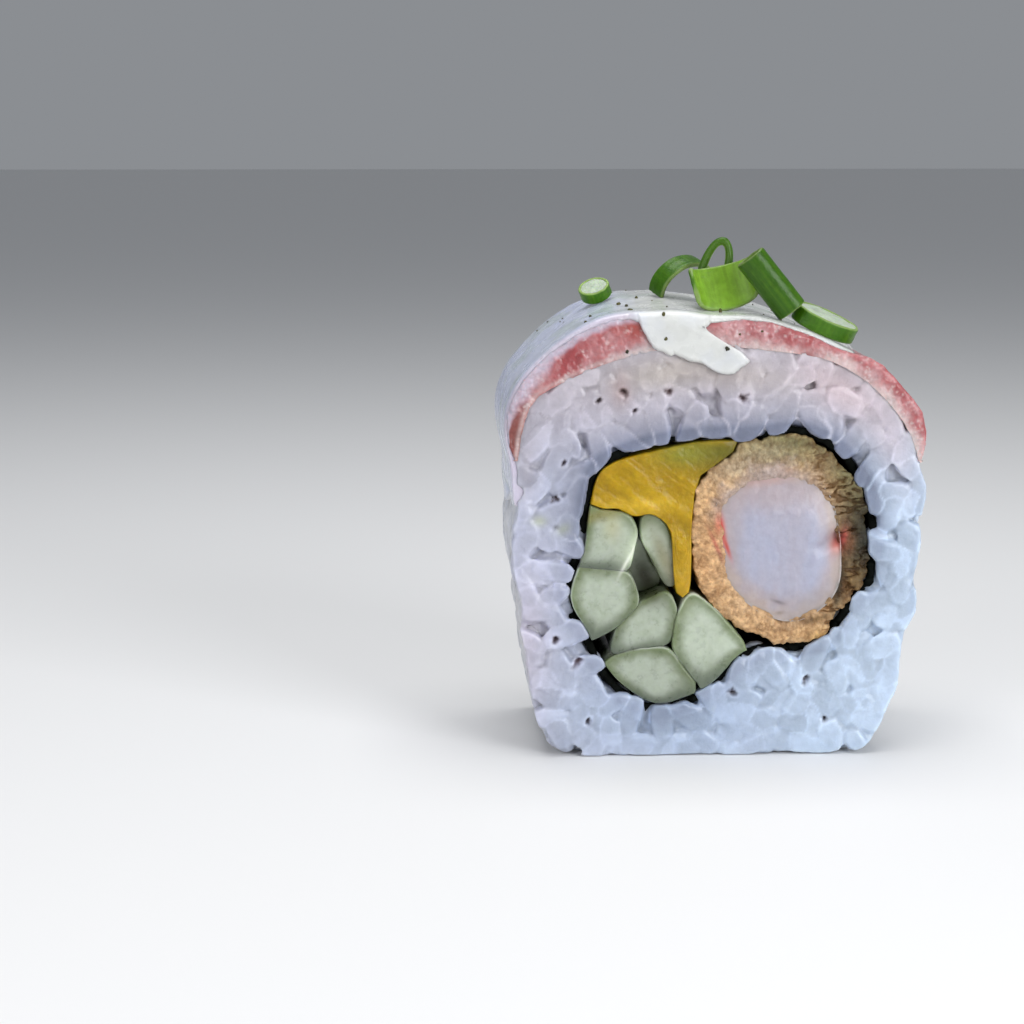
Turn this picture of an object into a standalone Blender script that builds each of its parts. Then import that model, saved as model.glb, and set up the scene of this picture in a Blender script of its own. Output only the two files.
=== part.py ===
"""One slice of a tiger roll: an inside-out sushi roll that is cut across and stands on its side.

Rice is rolled round a sheet of nori, which holds a prawn in crisp batter, mango and cucumber sticks. A
slice of tuna is draped over the top, with a herb cream on it and rings of spring onion on the cream.

Metres, +Z up. The roll's axis runs along Y between the two knife cuts, and the cut in front faces -Y. The
origin is the middle of the flat patch of rice that the slice stands on. Outlines are (x, z) points in
millimetres on the front cut, anticlockwise as seen from the front unless a comment gives another order.
"""

import math

import bmesh
import bpy
import numpy as np
from mathutils import Matrix, Vector
from mathutils.bvhtree import BVHTree

MM = 0.001
SEED = 7

# Driving dimensions, in millimetres
THICKNESS = 25.0
GAP = 0.3
NORI_THICKNESS = 0.5
FRONT = -THICKNESS / 2
BACK = THICKNESS / 2

GRAIN_LENGTH = 6.0
GRAIN_WIDTH = 2.9
GRAIN_HEIGHT = 2.6
FACE_GRAIN_SPACING = 4.2
SIDE_GRAIN_SPACING = 4.6
CORE_DEPTH = 0.9
POINTS_PER_SPAN = 3
SIDE_BULGE = 0.4

# Rice, from the right end of the tuna down the right side, along the base and up the left side
RICE_SIDES = (
    (24.3, 31.9), (24.7, 27.9), (24.3, 22.2), (23.9, 16.9), (22.7, 11.9), (21.9, 6.5), (20.3, 2.2),
    (17.0, 0.2), (8.0, 0.0), (0.0, 0.0), (-8.0, 0.0), (-16.2, 0.2), (-19.5, 2.2), (-21.0, 6.7),
    (-21.7, 12.7), (-22.1, 18.7), (-22.5, 25.1),
)
# The dome of rice under the cream and tuna from left to right, with the tuna's thickness over each point
RICE_DOME = (
    (-22.2, 28.9), (-21.8, 31.5), (-21.4, 34.3), (-20.8, 37.9), (-19.5, 40.7), (-16.2, 42.6),
    (-11.8, 44.5), (-6.0, 46.0), (0.0, 46.4), (6.2, 45.9), (12.2, 45.0), (16.2, 43.1), (19.2, 40.5),
    (21.9, 37.1), (23.3, 33.3),
)
TUNA_THICKNESS = (0.0, 0.3, 0.9, 1.6, 2.2, 3.2, 4.1, 3.4, 2.5, 2.9, 1.4, 1.9, 2.2, 1.8, 0.6)
TUNA_LEFT_END = 33.8
TUNA_STATIONS = 38

NORI_OUTLINE = (
    (9.1, 12.1), (13.1, 12.9), (15.6, 16.6), (18.0, 19.6), (18.5, 23.7), (17.8, 29.7), (15.7, 33.2),
    (13.2, 35.7), (9.6, 37.0), (4.3, 36.6), (-2.4, 36.3), (-8.0, 35.3), (-12.6, 33.1), (-14.0, 28.7),
    (-14.6, 24.1), (-16.2, 18.3), (-14.3, 14.3), (-12.2, 10.1), (-9.8, 7.2), (-6.1, 5.2), (-2.1, 6.2),
    (1.1, 8.1), (4.3, 11.5),
)
NORI_CENTRE = (1.0, 21.2)

PRAWN_CENTRE = (7.6, 24.2)
PRAWN_OUTLINE = (
    (7.4, 15.8), (10.2, 15.6), (13.0, 17.3), (14.4, 19.5), (14.6, 22.4), (14.3, 25.8), (13.4, 29.3),
    (11.0, 31.8), (6.5, 32.3), (2.4, 31.0), (0.7, 28.5), (0.8, 25.9), (1.3, 23.1), (2.2, 20.2),
    (4.0, 17.9),
)
BATTER_OUTLINE = (
    (10.3, 12.8), (12.9, 13.4), (13.8, 15.8), (15.8, 17.3), (17.4, 19.5), (17.9, 24.1), (17.3, 28.6),
    (15.9, 32.0), (13.6, 34.6), (9.8, 36.1), (5.4, 35.7), (1.2, 34.3), (-1.3, 31.9), (-2.0, 28.2),
    (-2.2, 24.7), (-2.2, 20.9), (-0.9, 18.3), (0.8, 16.7), (3.0, 14.9), (4.6, 13.5), (7.4, 13.2),
)
BATTER_STATIONS = 60
BATTER_CRAG = 0.45
PRAWN_STATIONS = 30
PRAWN_DOME = 0.35

MANGO_OUTLINE = (
    (-3.0, 18.3), (-2.0, 20.3), (-1.6, 24.7), (-1.2, 29.3), (0.2, 33.1), (3.4, 35.3), (0.9, 35.7),
    (-2.4, 35.6), (-5.8, 34.8), (-10.2, 33.6), (-12.4, 32.2), (-12.9, 30.3), (-12.6, 28.8), (-10.4, 28.9),
    (-8.5, 27.9), (-6.9, 28.2), (-5.2, 27.5), (-3.9, 25.7), (-3.4, 22.5), (-3.6, 19.3),
)
CUCUMBER_STICKS = {
    "cucumber_top_left": ((-13.7, 28.2), (-14.5, 21.8), (-9.2, 21.3), (-8.2, 25.9), (-9.2, 27.6)),
    "cucumber_left": (
        (-14.6, 21.7), (-16.2, 17.7), (-12.9, 13.6), (-10.5, 15.0), (-8.2, 17.3), (-8.2, 18.7), (-9.0, 21.0),
    ),
    "cucumber_thin": (
        (-7.5, 27.4), (-7.6, 25.1), (-4.8, 19.5), (-3.9, 19.4), (-3.9, 22.7), (-4.9, 26.1), (-6.2, 27.5),
    ),
    "cucumber_short": ((-8.2, 24.9), (-8.9, 21.0), (-7.9, 18.1), (-5.0, 19.1)),
    "cucumber_middle": ((-4.6, 18.9), (-7.6, 17.5), (-10.2, 14.9), (-11.0, 11.6), (-4.4, 13.0), (-3.7, 16.5)),
    "cucumber_right": ((-2.2, 18.7), (-3.6, 15.7), (-4.0, 12.3), (-1.0, 8.1), (4.2, 12.4), (0.6, 17.1)),
    "cucumber_bottom": ((-11.4, 11.2), (-11.9, 9.1), (-6.2, 5.6), (-1.2, 7.7), (-4.6, 12.3), (-8.0, 12.1)),
}
CUCUMBER_RECESS = {"cucumber_short": 4.5, "cucumber_thin": 0.8, "cucumber_middle": 0.5}
CORNER_ROUND = 0.8

# The cream's thickness across the roll, as (x, thickness) pairs, and its share of that from front to back
SAUCE_THICKNESS = ((-24.0, 0.6), (-17.0, 0.9), (-9.0, 1.5), (-2.0, 1.4), (5.0, 0.9), (10.0, 0.6), (16.0, 0.6))
SAUCE_SWELL = ((-14.0, 0.55), (-12.0, 0.5), (-8.0, 0.55), (-3.0, 0.9), (2.0, 1.15), (8.0, 1.1), (12.0, 0.8))
SAUCE_EDGE = 0.35
SAUCE_STATIONS = 36
SAUCE_BEND = 0.6
SAUCE_RIGHT_END = 15.8
# How far the cream runs down over the front edge and its slant from straight down, as (x, length, degrees)
SAUCE_RUNS = (
    (-25.0, 0.9, 0), (-20.5, 1.6, 0), (-15.5, 1.2, 0), (-9.6, 0.8, 0), (-7.8, 1.2, 0), (-6.8, 4.2, 0),
    (-5.8, 5.2, 10), (-4.6, 6.2, 26), (-3.4, 8.0, 42), (-2.2, 9.0, 55), (-1.2, 8.4, 66), (-0.2, 0.7, 70),
    (0.8, 0.6, 30), (8.5, 0.6, 0), (12.5, 0.7, 0), (16.0, 0.8, 0),
)

COLOURS = {
    "rice": ((0.62, 0.64, 0.70), 0.45),
    "nori": ((0.012, 0.016, 0.012), 0.55),
    "batter": ((0.52, 0.31, 0.14), 0.75),
    "prawn": ((0.62, 0.58, 0.62), 0.35),
    "mango": ((0.60, 0.36, 0.03), 0.35),
    "cucumber": ((0.50, 0.58, 0.42), 0.3),
    "tuna": ((0.55, 0.16, 0.17), 0.3),
    "cream": ((0.75, 0.75, 0.72), 0.35),
    "onion": ((0.07, 0.19, 0.015), 0.4),
}


def clear_scene():
    for obj in list(bpy.data.objects):
        bpy.data.objects.remove(obj)


def finish_of(name):
    """The named Principled BSDF material, made once."""
    found = bpy.data.materials.get(name)
    if found:
        return found
    colour, roughness = COLOURS[name]
    made = bpy.data.materials.new(name)
    made.use_nodes = True
    shader = made.node_tree.nodes["Principled BSDF"]
    shader.inputs["Base Color"].default_value = (*colour, 1.0)
    shader.inputs["Roughness"].default_value = roughness
    shader.inputs["Metallic"].default_value = 0.0
    return made


def mesh_object(name, points, faces, finish):
    """An object from points in millimetres, with its faces pointing out."""
    mesh = bpy.data.meshes.new(name)
    mesh.from_pydata([tuple(float(c) * MM for c in p) for p in points], [], faces)
    shape = bmesh.new()
    shape.from_mesh(mesh)
    bmesh.ops.recalc_face_normals(shape, faces=shape.faces)
    shape.to_mesh(mesh)
    shape.free()
    mesh.materials.append(finish_of(finish))
    obj = bpy.data.objects.new(name, mesh)
    bpy.context.scene.collection.objects.link(obj)
    return obj


def spline(points, per_span, closed):
    """A Catmull-Rom curve: on each span, a cubic whose slopes come from the two neighbouring points."""
    p = np.array(points, float)
    if closed:
        before, start, end, after = np.roll(p, 1, 0), p, np.roll(p, -1, 0), np.roll(p, -2, 0)
    else:
        start, end = p[:-1], p[1:]
        before = np.vstack([2 * p[0] - p[1], p[:-2]])
        after = np.vstack([p[2:], 2 * p[-1] - p[-2]])
    t = (np.arange(per_span) / per_span)[None, :, None]
    before, start, end, after = (q[:, None, :] for q in (before, start, end, after))
    curve = 0.5 * (
        2 * start
        + (end - before) * t
        + (2 * before - 5 * start + 4 * end - after) * t**2
        + (3 * start - before - 3 * end + after) * t**3
    )
    curve = curve.reshape(-1, p.shape[1])
    return curve if closed else np.vstack([curve, p[-1]])


def left_normals(curve, closed):
    """Unit vectors to the left of each point's direction of travel: inward on an anticlockwise outline."""
    if closed:
        along = np.roll(curve, -1, 0) - np.roll(curve, 1, 0)
    else:
        along = np.gradient(curve, axis=0)
    along /= np.linalg.norm(along, axis=1)[:, None]
    return np.stack([-along[:, 1], along[:, 0]], axis=1)


def inset(outline, distance):
    return outline + left_normals(outline, True) * distance


def rounded(corners, radius, steps=3):
    """A polygon whose corners become short curves that start radius before them, less on a short side."""
    p = np.array(corners, float)
    sides = np.linalg.norm(np.roll(p, -1, 0) - p, axis=1)
    made = []
    for i, corner in enumerate(p):
        reach_in = min(radius, 0.45 * sides[i - 1])
        reach_out = min(radius, 0.45 * sides[i])
        start = corner + (p[i - 1] - corner) * reach_in / sides[i - 1]
        end = corner + (p[(i + 1) % len(p)] - corner) * reach_out / sides[i]
        for t in np.linspace(0, 1, steps):
            made.append((1 - t) ** 2 * start + 2 * t * (1 - t) * corner + t**2 * end)
    return np.array(made)


def radius_at(outline, centre, angles):
    """The outline's distance from the centre in each direction, for an outline that goes once round it."""
    offset = outline - np.array(centre)
    angle = np.arctan2(offset[:, 1], offset[:, 0]) % math.tau
    order = np.argsort(angle)
    return np.interp(angles, angle[order], np.linalg.norm(offset, axis=1)[order], period=math.tau)


def angles_round(outline, centre):
    offset = outline - np.array(centre)
    return np.arctan2(offset[:, 1], offset[:, 0]), np.linalg.norm(offset, axis=1)


def held_inside(outline, limit, centre):
    """The outline with every point that lies outside the limit drawn in to it, towards the centre."""
    angle, distance = angles_round(outline, centre)
    distance = np.minimum(distance, radius_at(limit, centre, angle % math.tau))
    return np.array(centre) + distance[:, None] * np.stack([np.cos(angle), np.sin(angle)], 1)


def held_outside(outline, limit, centre):
    """The outline with every point that lies inside the limit pushed out to it, away from the centre."""
    angle, distance = angles_round(outline, centre)
    distance = np.maximum(distance, radius_at(limit, centre, angle % math.tau))
    return np.array(centre) + distance[:, None] * np.stack([np.cos(angle), np.sin(angle)], 1)


def within(outline, point):
    """Whether the point is inside: a line from it to the right crosses an odd number of sides."""
    x, z = point
    nxt = np.roll(outline, -1, 0)
    spans = (outline[:, 1] > z) != (nxt[:, 1] > z)
    start, end = outline[spans], nxt[spans]
    crossing = start[:, 0] + (z - start[:, 1]) * (end[:, 0] - start[:, 0]) / (end[:, 1] - start[:, 1])
    return np.count_nonzero(crossing > x) % 2 == 1


def prism(name, outline, front, back, finish):
    """The outline carried along Y, closed by a flat cut at each end."""
    count = len(outline)
    points = [(x, front, z) for x, z in outline] + [(x, back, z) for x, z in outline]
    faces = [tuple(range(count)), tuple(range(2 * count - 1, count - 1, -1))]
    for i in range(count):
        j = (i + 1) % count
        faces.append((j, i, count + i, count + j))
    return mesh_object(name, points, faces, finish)


def stacked_rings(name, rings, finish, closed_round=True):
    """A solid from rings of points, closed on the first ring again, or by a flat face at each end."""
    count = len(rings[0])
    points = np.concatenate(rings)
    faces = []
    for k in range(len(rings) if closed_round else len(rings) - 1):
        low, high = k * count, (k + 1) % len(rings) * count
        for i in range(count):
            j = (i + 1) % count
            faces.append((low + i, low + j, high + j, high + i))
    if not closed_round:
        last = (len(rings) - 1) * count
        faces.append(tuple(range(count - 1, -1, -1)))
        faces.append(tuple(range(last, last + count)))
    return mesh_object(name, points, faces, finish)


def as_cutter(obj):
    obj.hide_render = True
    obj.display_type = "WIRE"
    return obj


def apply_boolean(obj, operation, other=None, collection=None):
    """Cuts obj by another object, or joins a whole collection to it, and keeps the result as its mesh."""
    modifier = obj.modifiers.new(operation.lower(), "BOOLEAN")
    modifier.operation = operation
    modifier.solver = "EXACT"
    if collection:
        modifier.operand_type = "COLLECTION"
        modifier.collection = collection
    else:
        modifier.object = other
    graph = bpy.context.evaluated_depsgraph_get()
    mesh = bpy.data.meshes.new_from_object(obj.evaluated_get(graph))
    obj.modifiers.clear()
    obj.data = mesh


def keep_largest_shell(obj):
    """Drops loose scraps and the walls of sealed hollows, which leaves the outer skin of one solid."""
    shape = bmesh.new()
    shape.from_mesh(obj.data)
    shape.verts.ensure_lookup_table()
    unseen = set(shape.verts)
    shells = []
    while unseen:
        shell = set()
        reached = [unseen.pop()]
        while reached:
            vert = reached.pop()
            shell.add(vert)
            near = {edge.other_vert(vert) for edge in vert.link_edges} & unseen
            unseen -= near
            reached.extend(near)
        shells.append(shell)
    shells.sort(key=len)
    bmesh.ops.delete(shape, geom=[v for shell in shells[:-1] for v in shell], context="VERTS")
    shape.to_mesh(obj.data)
    shape.free()


def remove_all(objects):
    for obj in objects:
        bpy.data.objects.remove(obj)


def rice_outline(per_span=POINTS_PER_SPAN):
    """The whole outline of the rice: its sides, then its dome from right to left."""
    return spline(RICE_SIDES[::-1] + RICE_DOME[::-1], per_span, True)


def nori_outline():
    return spline(NORI_OUTLINE, POINTS_PER_SPAN, True)


def cavity_outline():
    """The space that the filling may take: inside the nori, with a gap."""
    return inset(nori_outline(), NORI_THICKNESS + GAP)


def scattered(low, high, spacing, allowed, dice):
    """Points thrown at random in a rectangle, each kept where it is allowed and clear of those before it."""
    kept = np.empty((0, 2))
    tries = int(30 * (high[0] - low[0]) * (high[1] - low[1]) / spacing**2)
    for point in dice.uniform(low, high, (tries, 2)):
        clear = not len(kept) or np.linalg.norm(kept - point, axis=1).min() > spacing
        if clear and allowed(point):
            kept = np.vstack([kept, point])
    return kept


def grain_mesh():
    """A swollen grain with few sides, its length along X."""
    shape = bmesh.new()
    bmesh.ops.create_uvsphere(shape, u_segments=6, v_segments=4, radius=0.5 * MM)
    bmesh.ops.rotate(shape, verts=shape.verts, matrix=Matrix.Rotation(math.pi / 2, 3, "Y"))
    bmesh.ops.scale(shape, verts=shape.verts, vec=(GRAIN_LENGTH, GRAIN_WIDTH, GRAIN_HEIGHT))
    mesh = bpy.data.meshes.new("grain")
    shape.to_mesh(mesh)
    shape.free()
    return mesh


def lay_grain(grain, collection, centre, outward, dice, tip=0.3):
    """One grain, flat against the surface that faces outward, turned at random and a little tipped."""
    obj = bpy.data.objects.new("grain", grain)
    facing = Vector(outward).to_track_quat("Z", "Y").to_matrix()
    turn = Matrix.Rotation(dice.uniform(0, math.pi), 3, "Z")
    lean = Matrix.Rotation(dice.normal(0, tip), 3, "Y")
    size = Matrix.Diagonal([dice.uniform(0.82, 1.08)] * 3)
    obj.matrix_world = Matrix.Translation(Vector(centre) * MM) @ (facing @ turn @ lean @ size).to_4x4()
    collection.objects.link(obj)


def face_grains(grain, collection, dice):
    """Grains that both knife cuts go through, in the ring of rice between its outline and the nori."""
    outer = inset(rice_outline(), 1.2)
    inner = inset(nori_outline(), -1.0)

    def allowed(point):
        return point[1] > 1.2 and within(outer, point) and not within(inner, point)

    for side in (-1, 1):
        for x, z in scattered((-24, 0), (24.5, 47), FACE_GRAIN_SPACING, allowed, dice):
            depth = dice.uniform(0.1, 0.95)
            lay_grain(grain, collection, (x, side * (BACK - depth), z), (0, side, 0), dice)


def side_grains(grain, collection, dice):
    """Grains along the bare sides of the rice, from the tuna's ends down to the base."""
    outline = rice_outline(per_span=12)
    inward = left_normals(outline, True)
    tops = [RICE_DOME[-1][1], RICE_DOME[0][1]]
    step = np.linalg.norm(np.roll(outline, -1, 0) - outline, axis=1)
    along = np.concatenate([[0], np.cumsum(step)[:-1]])

    def spot(point):
        i = int(np.searchsorted(along, point[0])) % len(outline)
        return outline[i] + inward[i] * 1.0, -inward[i]

    def allowed(point):
        (x, z), _ = spot(point)
        return 1.6 < z < tops[int(x < 0)] - 2.6

    area = (along[-1], BACK - 0.9)
    for point in scattered((0, FRONT + 0.9), area, SIDE_GRAIN_SPACING, allowed, dice):
        (x, z), (out_x, out_z) = spot(point)
        lay_grain(grain, collection, (x, point[1], z), (out_x, 0, out_z), dice, tip=0.12)


def rice_limit():
    """What the rice may not pass: the cuts, its base, the tuna and a small bulge on its sides."""
    outline = rice_outline()
    sides = outline[: (len(RICE_SIDES) - 1) * POINTS_PER_SPAN + 1]
    sides = sides - left_normals(sides, False) * SIDE_BULGE
    sides[:, 1] = np.maximum(sides[:, 1], 0)
    dome = outline[len(RICE_SIDES) * POINTS_PER_SPAN:]
    return as_cutter(prism("rice_limit", np.vstack([sides, dome]), FRONT, BACK, "rice"))


def make_rice(dice):
    """The ring of rice: a core just under the surface, with grains fused on and cut flush by the knife."""
    outline = inset(rice_outline(), CORE_DEPTH)
    under_tuna = slice((len(RICE_SIDES) + 1) * POINTS_PER_SPAN, -POINTS_PER_SPAN)
    outline[under_tuna] = inset(rice_outline(), -CORE_DEPTH)[under_tuna]
    outline[outline[:, 1] < CORE_DEPTH + 0.7, 1] -= 2 * CORE_DEPTH
    rice = prism("rice", outline, FRONT + CORE_DEPTH, BACK - CORE_DEPTH, "rice")
    grains = bpy.data.collections.new("grains")
    bpy.context.scene.collection.children.link(grains)
    grain = grain_mesh()
    face_grains(grain, grains, dice)
    side_grains(grain, grains, dice)
    apply_boolean(rice, "UNION", collection=grains)
    remove_all(list(grains.objects))
    bpy.data.collections.remove(grains)
    keep_largest_shell(rice)

    hole = as_cutter(prism("hole", inset(nori_outline(), -GAP), FRONT - 2, BACK + 2, "nori"))
    limit = rice_limit()
    apply_boolean(rice, "INTERSECT", limit)
    apply_boolean(rice, "DIFFERENCE", hole)
    keep_largest_shell(rice)
    remove_all([hole, limit])
    rice.data.materials.clear()
    rice.data.materials.append(finish_of("rice"))


def make_nori():
    """The sheet of seaweed, a thin tube through the roll."""
    outer = nori_outline()
    inner = inset(outer, NORI_THICKNESS)
    ends = (FRONT + 0.1, BACK - 0.1)
    rings = [
        np.insert(outer, 1, ends[0], axis=1),
        np.insert(outer, 1, ends[1], axis=1),
        np.insert(inner, 1, ends[1], axis=1),
        np.insert(inner, 1, ends[0], axis=1),
    ]
    stacked_rings("nori", rings, "nori")


def batter_radius(angles):
    """How far the batter reaches from the prawn's centre, kept inside the nori."""
    batter = radius_at(spline(BATTER_OUTLINE, 3, True), PRAWN_CENTRE, angles)
    return np.minimum(batter, radius_at(cavity_outline(), PRAWN_CENTRE, angles) - 0.05)


def ring_round(centre, radii, angles, y):
    x = centre[0] + radii * np.cos(angles)
    z = centre[1] + radii * np.sin(angles)
    return np.stack([x, np.broadcast_to(y, x.shape), z], axis=1)


def make_batter(dice):
    """The crust round the prawn, with crags on both cuts and along its rim."""
    angles = np.arange(BATTER_STATIONS) / BATTER_STATIONS * math.tau
    inner = radius_at(spline(PRAWN_OUTLINE, 3, True), PRAWN_CENTRE, angles) + GAP
    outer = batter_radius(angles)
    rings = []
    for end in (FRONT, BACK):
        rim = outer - dice.uniform(0, BATTER_CRAG, BATTER_STATIONS)
        face = []
        for share in (0.0, 0.35, 0.7, 1.0):
            deep = dice.uniform(0, BATTER_CRAG, BATTER_STATIONS) * (1 if end < 0 else -1)
            face.append(ring_round(PRAWN_CENTRE, inner + (rim - inner) * share, angles, end + deep))
        rings += face if end < 0 else face[::-1]
    stacked_rings("batter", rings, "batter")


def make_prawn():
    """The prawn's meat, slightly domed where it is cut."""
    angles = np.arange(PRAWN_STATIONS) / PRAWN_STATIONS * math.tau
    radius = radius_at(spline(PRAWN_OUTLINE, 3, True), PRAWN_CENTRE, angles)
    shares = np.array([0.45, 0.85, 1.0])
    rise = PRAWN_DOME * (1 - shares**3)
    front = [ring_round(PRAWN_CENTRE, radius * s, angles, FRONT + 0.2 - r) for s, r in zip(shares, rise)]
    back = [ring_round(PRAWN_CENTRE, radius * s, angles, BACK - 0.2 + r) for s, r in zip(shares, rise)]
    stacked_rings("prawn", front + back[::-1], "prawn", closed_round=False)


def batter_limit():
    """The batter's outline with the gap that its neighbours keep."""
    angles = np.arange(180) / 180 * math.tau
    ring = ring_round(PRAWN_CENTRE, batter_radius(angles) + GAP, angles, 0.0)
    return ring[:, [0, 2]]


def make_mango():
    outline = spline(MANGO_OUTLINE, 2, True)
    outline = held_outside(outline, inset(batter_limit(), -0.15), PRAWN_CENTRE)
    outline = held_inside(outline, cavity_outline(), NORI_CENTRE)
    prism("mango", outline, FRONT + 0.3, BACK - 0.3, "mango")


def make_cucumber():
    """Seven sticks with rounded corners, some of them sunk behind the front cut."""
    for name, corners in CUCUMBER_STICKS.items():
        outline = inset(rounded(corners, CORNER_ROUND), GAP / 2)
        outline = held_outside(outline, batter_limit(), PRAWN_CENTRE)
        outline = held_inside(outline, inset(cavity_outline(), 0.15), NORI_CENTRE)
        recess = CUCUMBER_RECESS.get(name, 0.2)
        prism(name, outline, FRONT + recess, BACK - 0.2, "cucumber")


def dome_stations(count):
    """Points evenly along the dome from left to right, with their normals and the tuna over them."""
    fine = spline(np.column_stack([RICE_DOME, TUNA_THICKNESS]), 12, False)
    length = np.concatenate([[0], np.cumsum(np.linalg.norm(np.diff(fine[:, :2], axis=0), axis=1))])
    at = np.linspace(0, length[-1], count)
    x, z, thick = (np.interp(at, length, fine[:, k]) for k in range(3))
    dome = np.stack([x, z], axis=1)
    return dome, left_normals(dome, False), thick, at


def raised(dome, normals, heights, ys):
    """Points above the dome: one row per station, each at its own heights along the normal and its own y."""
    x = dome[:, None, 0] + normals[:, None, 0] * heights
    z = dome[:, None, 1] + normals[:, None, 1] * heights
    return np.stack([x, np.broadcast_to(ys, x.shape), z], axis=2)


def make_tuna():
    """The slice of tuna: a rounded slab section carried over the dome of rice, with waves in its top."""
    fine = dome_stations(400)
    under = (fine[0][:, 0] > 0) | (fine[0][:, 1] > TUNA_LEFT_END)
    pick = np.linspace(np.argmax(under), len(under) - 1, TUNA_STATIONS).astype(int)
    dome, normals, thick, at = (values[pick] for values in fine)
    round_edge = 0.5
    ys = np.array([
        FRONT, FRONT / 3, BACK / 3, BACK, BACK, BACK - round_edge,
        BACK / 2, 0, FRONT / 2, FRONT + round_edge, FRONT, FRONT,
    ])
    share = np.array([0, 0, 0, 0, 0.75, 1, 1, 1, 1, 1, 0.75, 0.35])
    sway = 0.25 * np.sin(at * 0.55) + 0.2 * np.sin(at * 1.3 + 1.0)
    edge = np.where(np.abs(ys) > BACK - 0.01, np.sign(ys), 0)
    ripple = 0.12 * np.sin(at[:, None] * 0.9 + ys[None, :] * 0.35)
    heights = GAP + thick[:, None] * share + ripple * (share == 1)
    sections = raised(dome, normals, heights, ys[None, :] - edge[None, :] * np.abs(sway[:, None]))
    stacked_rings("tuna", list(sections), "tuna", closed_round=False)


def fold_over(distance, corner_y, round_radius):
    """A path that comes forward level and turns down over the front edge.

    distance is 0 at the middle of the turn and grows downwards. Returns y, the height against the level
    stretch, and the outward direction as (y, height).
    """
    half = round_radius * math.pi / 4
    turn = np.clip(distance / half, -1, 1) * math.pi / 4 + math.pi / 4
    before = np.minimum(distance + half, 0)
    after = np.maximum(distance - half, 0)
    y = corner_y + round_radius - before - round_radius * np.sin(turn)
    height = round_radius * (np.cos(turn) - 1) - after
    return y, height, np.stack([-np.sin(turn), np.cos(turn)], axis=-1)


def make_sauce():
    """The cream: a skin over the tuna with thin edges, which runs down over the front in the middle."""
    fine = dome_stations(400)
    end = np.count_nonzero(fine[0][:, 0] < SAUCE_RIGHT_END)
    pick = np.linspace(0, end - 1, SAUCE_STATIONS).astype(int)
    dome, normals, thick, at = (values[pick] for values in fine)
    base = thick[:, None] + 2 * GAP + 0.12
    across = dome[:, 0] + normals[:, 0] * base[:, 0]
    runs = np.array(SAUCE_RUNS)
    run = np.interp(across, runs[:, 0], runs[:, 1])
    slant = np.radians(np.interp(across, runs[:, 0], runs[:, 2]))[:, None]
    back_edge = BACK - 2.2 + 0.9 * np.sin(at * 0.35) + 0.5 * np.sin(at * 0.9 + 2.0)
    corner_y = FRONT - GAP
    half = SAUCE_BEND * math.pi / 4
    level = np.linspace(0, 1, 5)[:-1]
    front = np.linspace(0, 1, 5)[1:]
    distance = np.concatenate([
        (half - back_edge + corner_y)[:, None] * (1 - level) - half * np.ones_like(level),
        np.broadcast_to([-half, 0.0, half], (SAUCE_STATIONS, 3)),
        half + (run - half)[:, None] * front,
    ], axis=1)
    rows = (distance - distance[:, :1]) / (distance[:, -1:] - distance[:, :1])
    y, drop, outward = fold_over(distance, corner_y, SAUCE_BEND)
    past = np.maximum(distance - half, 0)
    drop += past * (1 - np.cos(slant))
    aside = past * np.sin(slant)

    ends = np.minimum(np.arange(SAUCE_STATIONS), np.arange(SAUCE_STATIONS)[::-1]) / 4
    taper = np.sqrt(np.clip(ends, 0, 1))[:, None] * np.sqrt(np.clip(4.5 * np.minimum(rows, 1 - rows), 0, 1))
    thickness = np.interp(across, *np.transpose(SAUCE_THICKNESS))[:, None]
    thickness = thickness * np.interp(y, *np.transpose(SAUCE_SWELL))
    swell = 1 + 0.12 * np.sin(at[:, None] * 0.5 + y * 0.3)
    skin = SAUCE_EDGE + np.maximum(thickness - SAUCE_EDGE, 0) * taper * swell
    inner = raised(dome, normals, base + drop, y)
    outer = raised(dome, normals, base + drop + skin * outward[..., 1], y + skin * outward[..., 0])
    inner[..., 0] += aside
    outer[..., 0] += aside
    sections = np.concatenate([inner, outer[:, ::-1]], axis=1)
    return stacked_rings("cream", list(sections), "cream", closed_round=False)


def leaf_piece(name, radii, wall, length, start=0.0, sweep=math.tau, end_cut=0.0):
    """A slice of a hollow leaf round local Z: a whole ring, or an arc of one.

    radii are its half widths along local X and Y. end_cut makes the lower edge bow down in the middle of
    the arc.
    """
    whole = sweep >= math.tau - 1e-6
    count = 18 if whole else 13
    angle = start + np.linspace(0, sweep, count + whole)[:count]
    across = np.linspace(-1, 1, count)
    bow = end_cut * np.sqrt(np.clip(1 - across**2, 0, 1))
    outer = np.stack([radii[0] * np.cos(angle), radii[1] * np.sin(angle)], axis=1)
    inner = np.stack([(radii[0] - wall) * np.cos(angle), (radii[1] - wall) * np.sin(angle)], axis=1)
    low, high = -length / 2 - bow, np.full(count, length / 2)
    corners = [
        np.column_stack([outer, low]),
        np.column_stack([outer, high]),
        np.column_stack([inner, high]),
        np.column_stack([inner, low]),
    ]
    if whole:
        return stacked_rings(name, corners, "onion")
    sections = np.stack(corners, axis=1)
    return stacked_rings(name, list(sections), "onion", closed_round=False)


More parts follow.
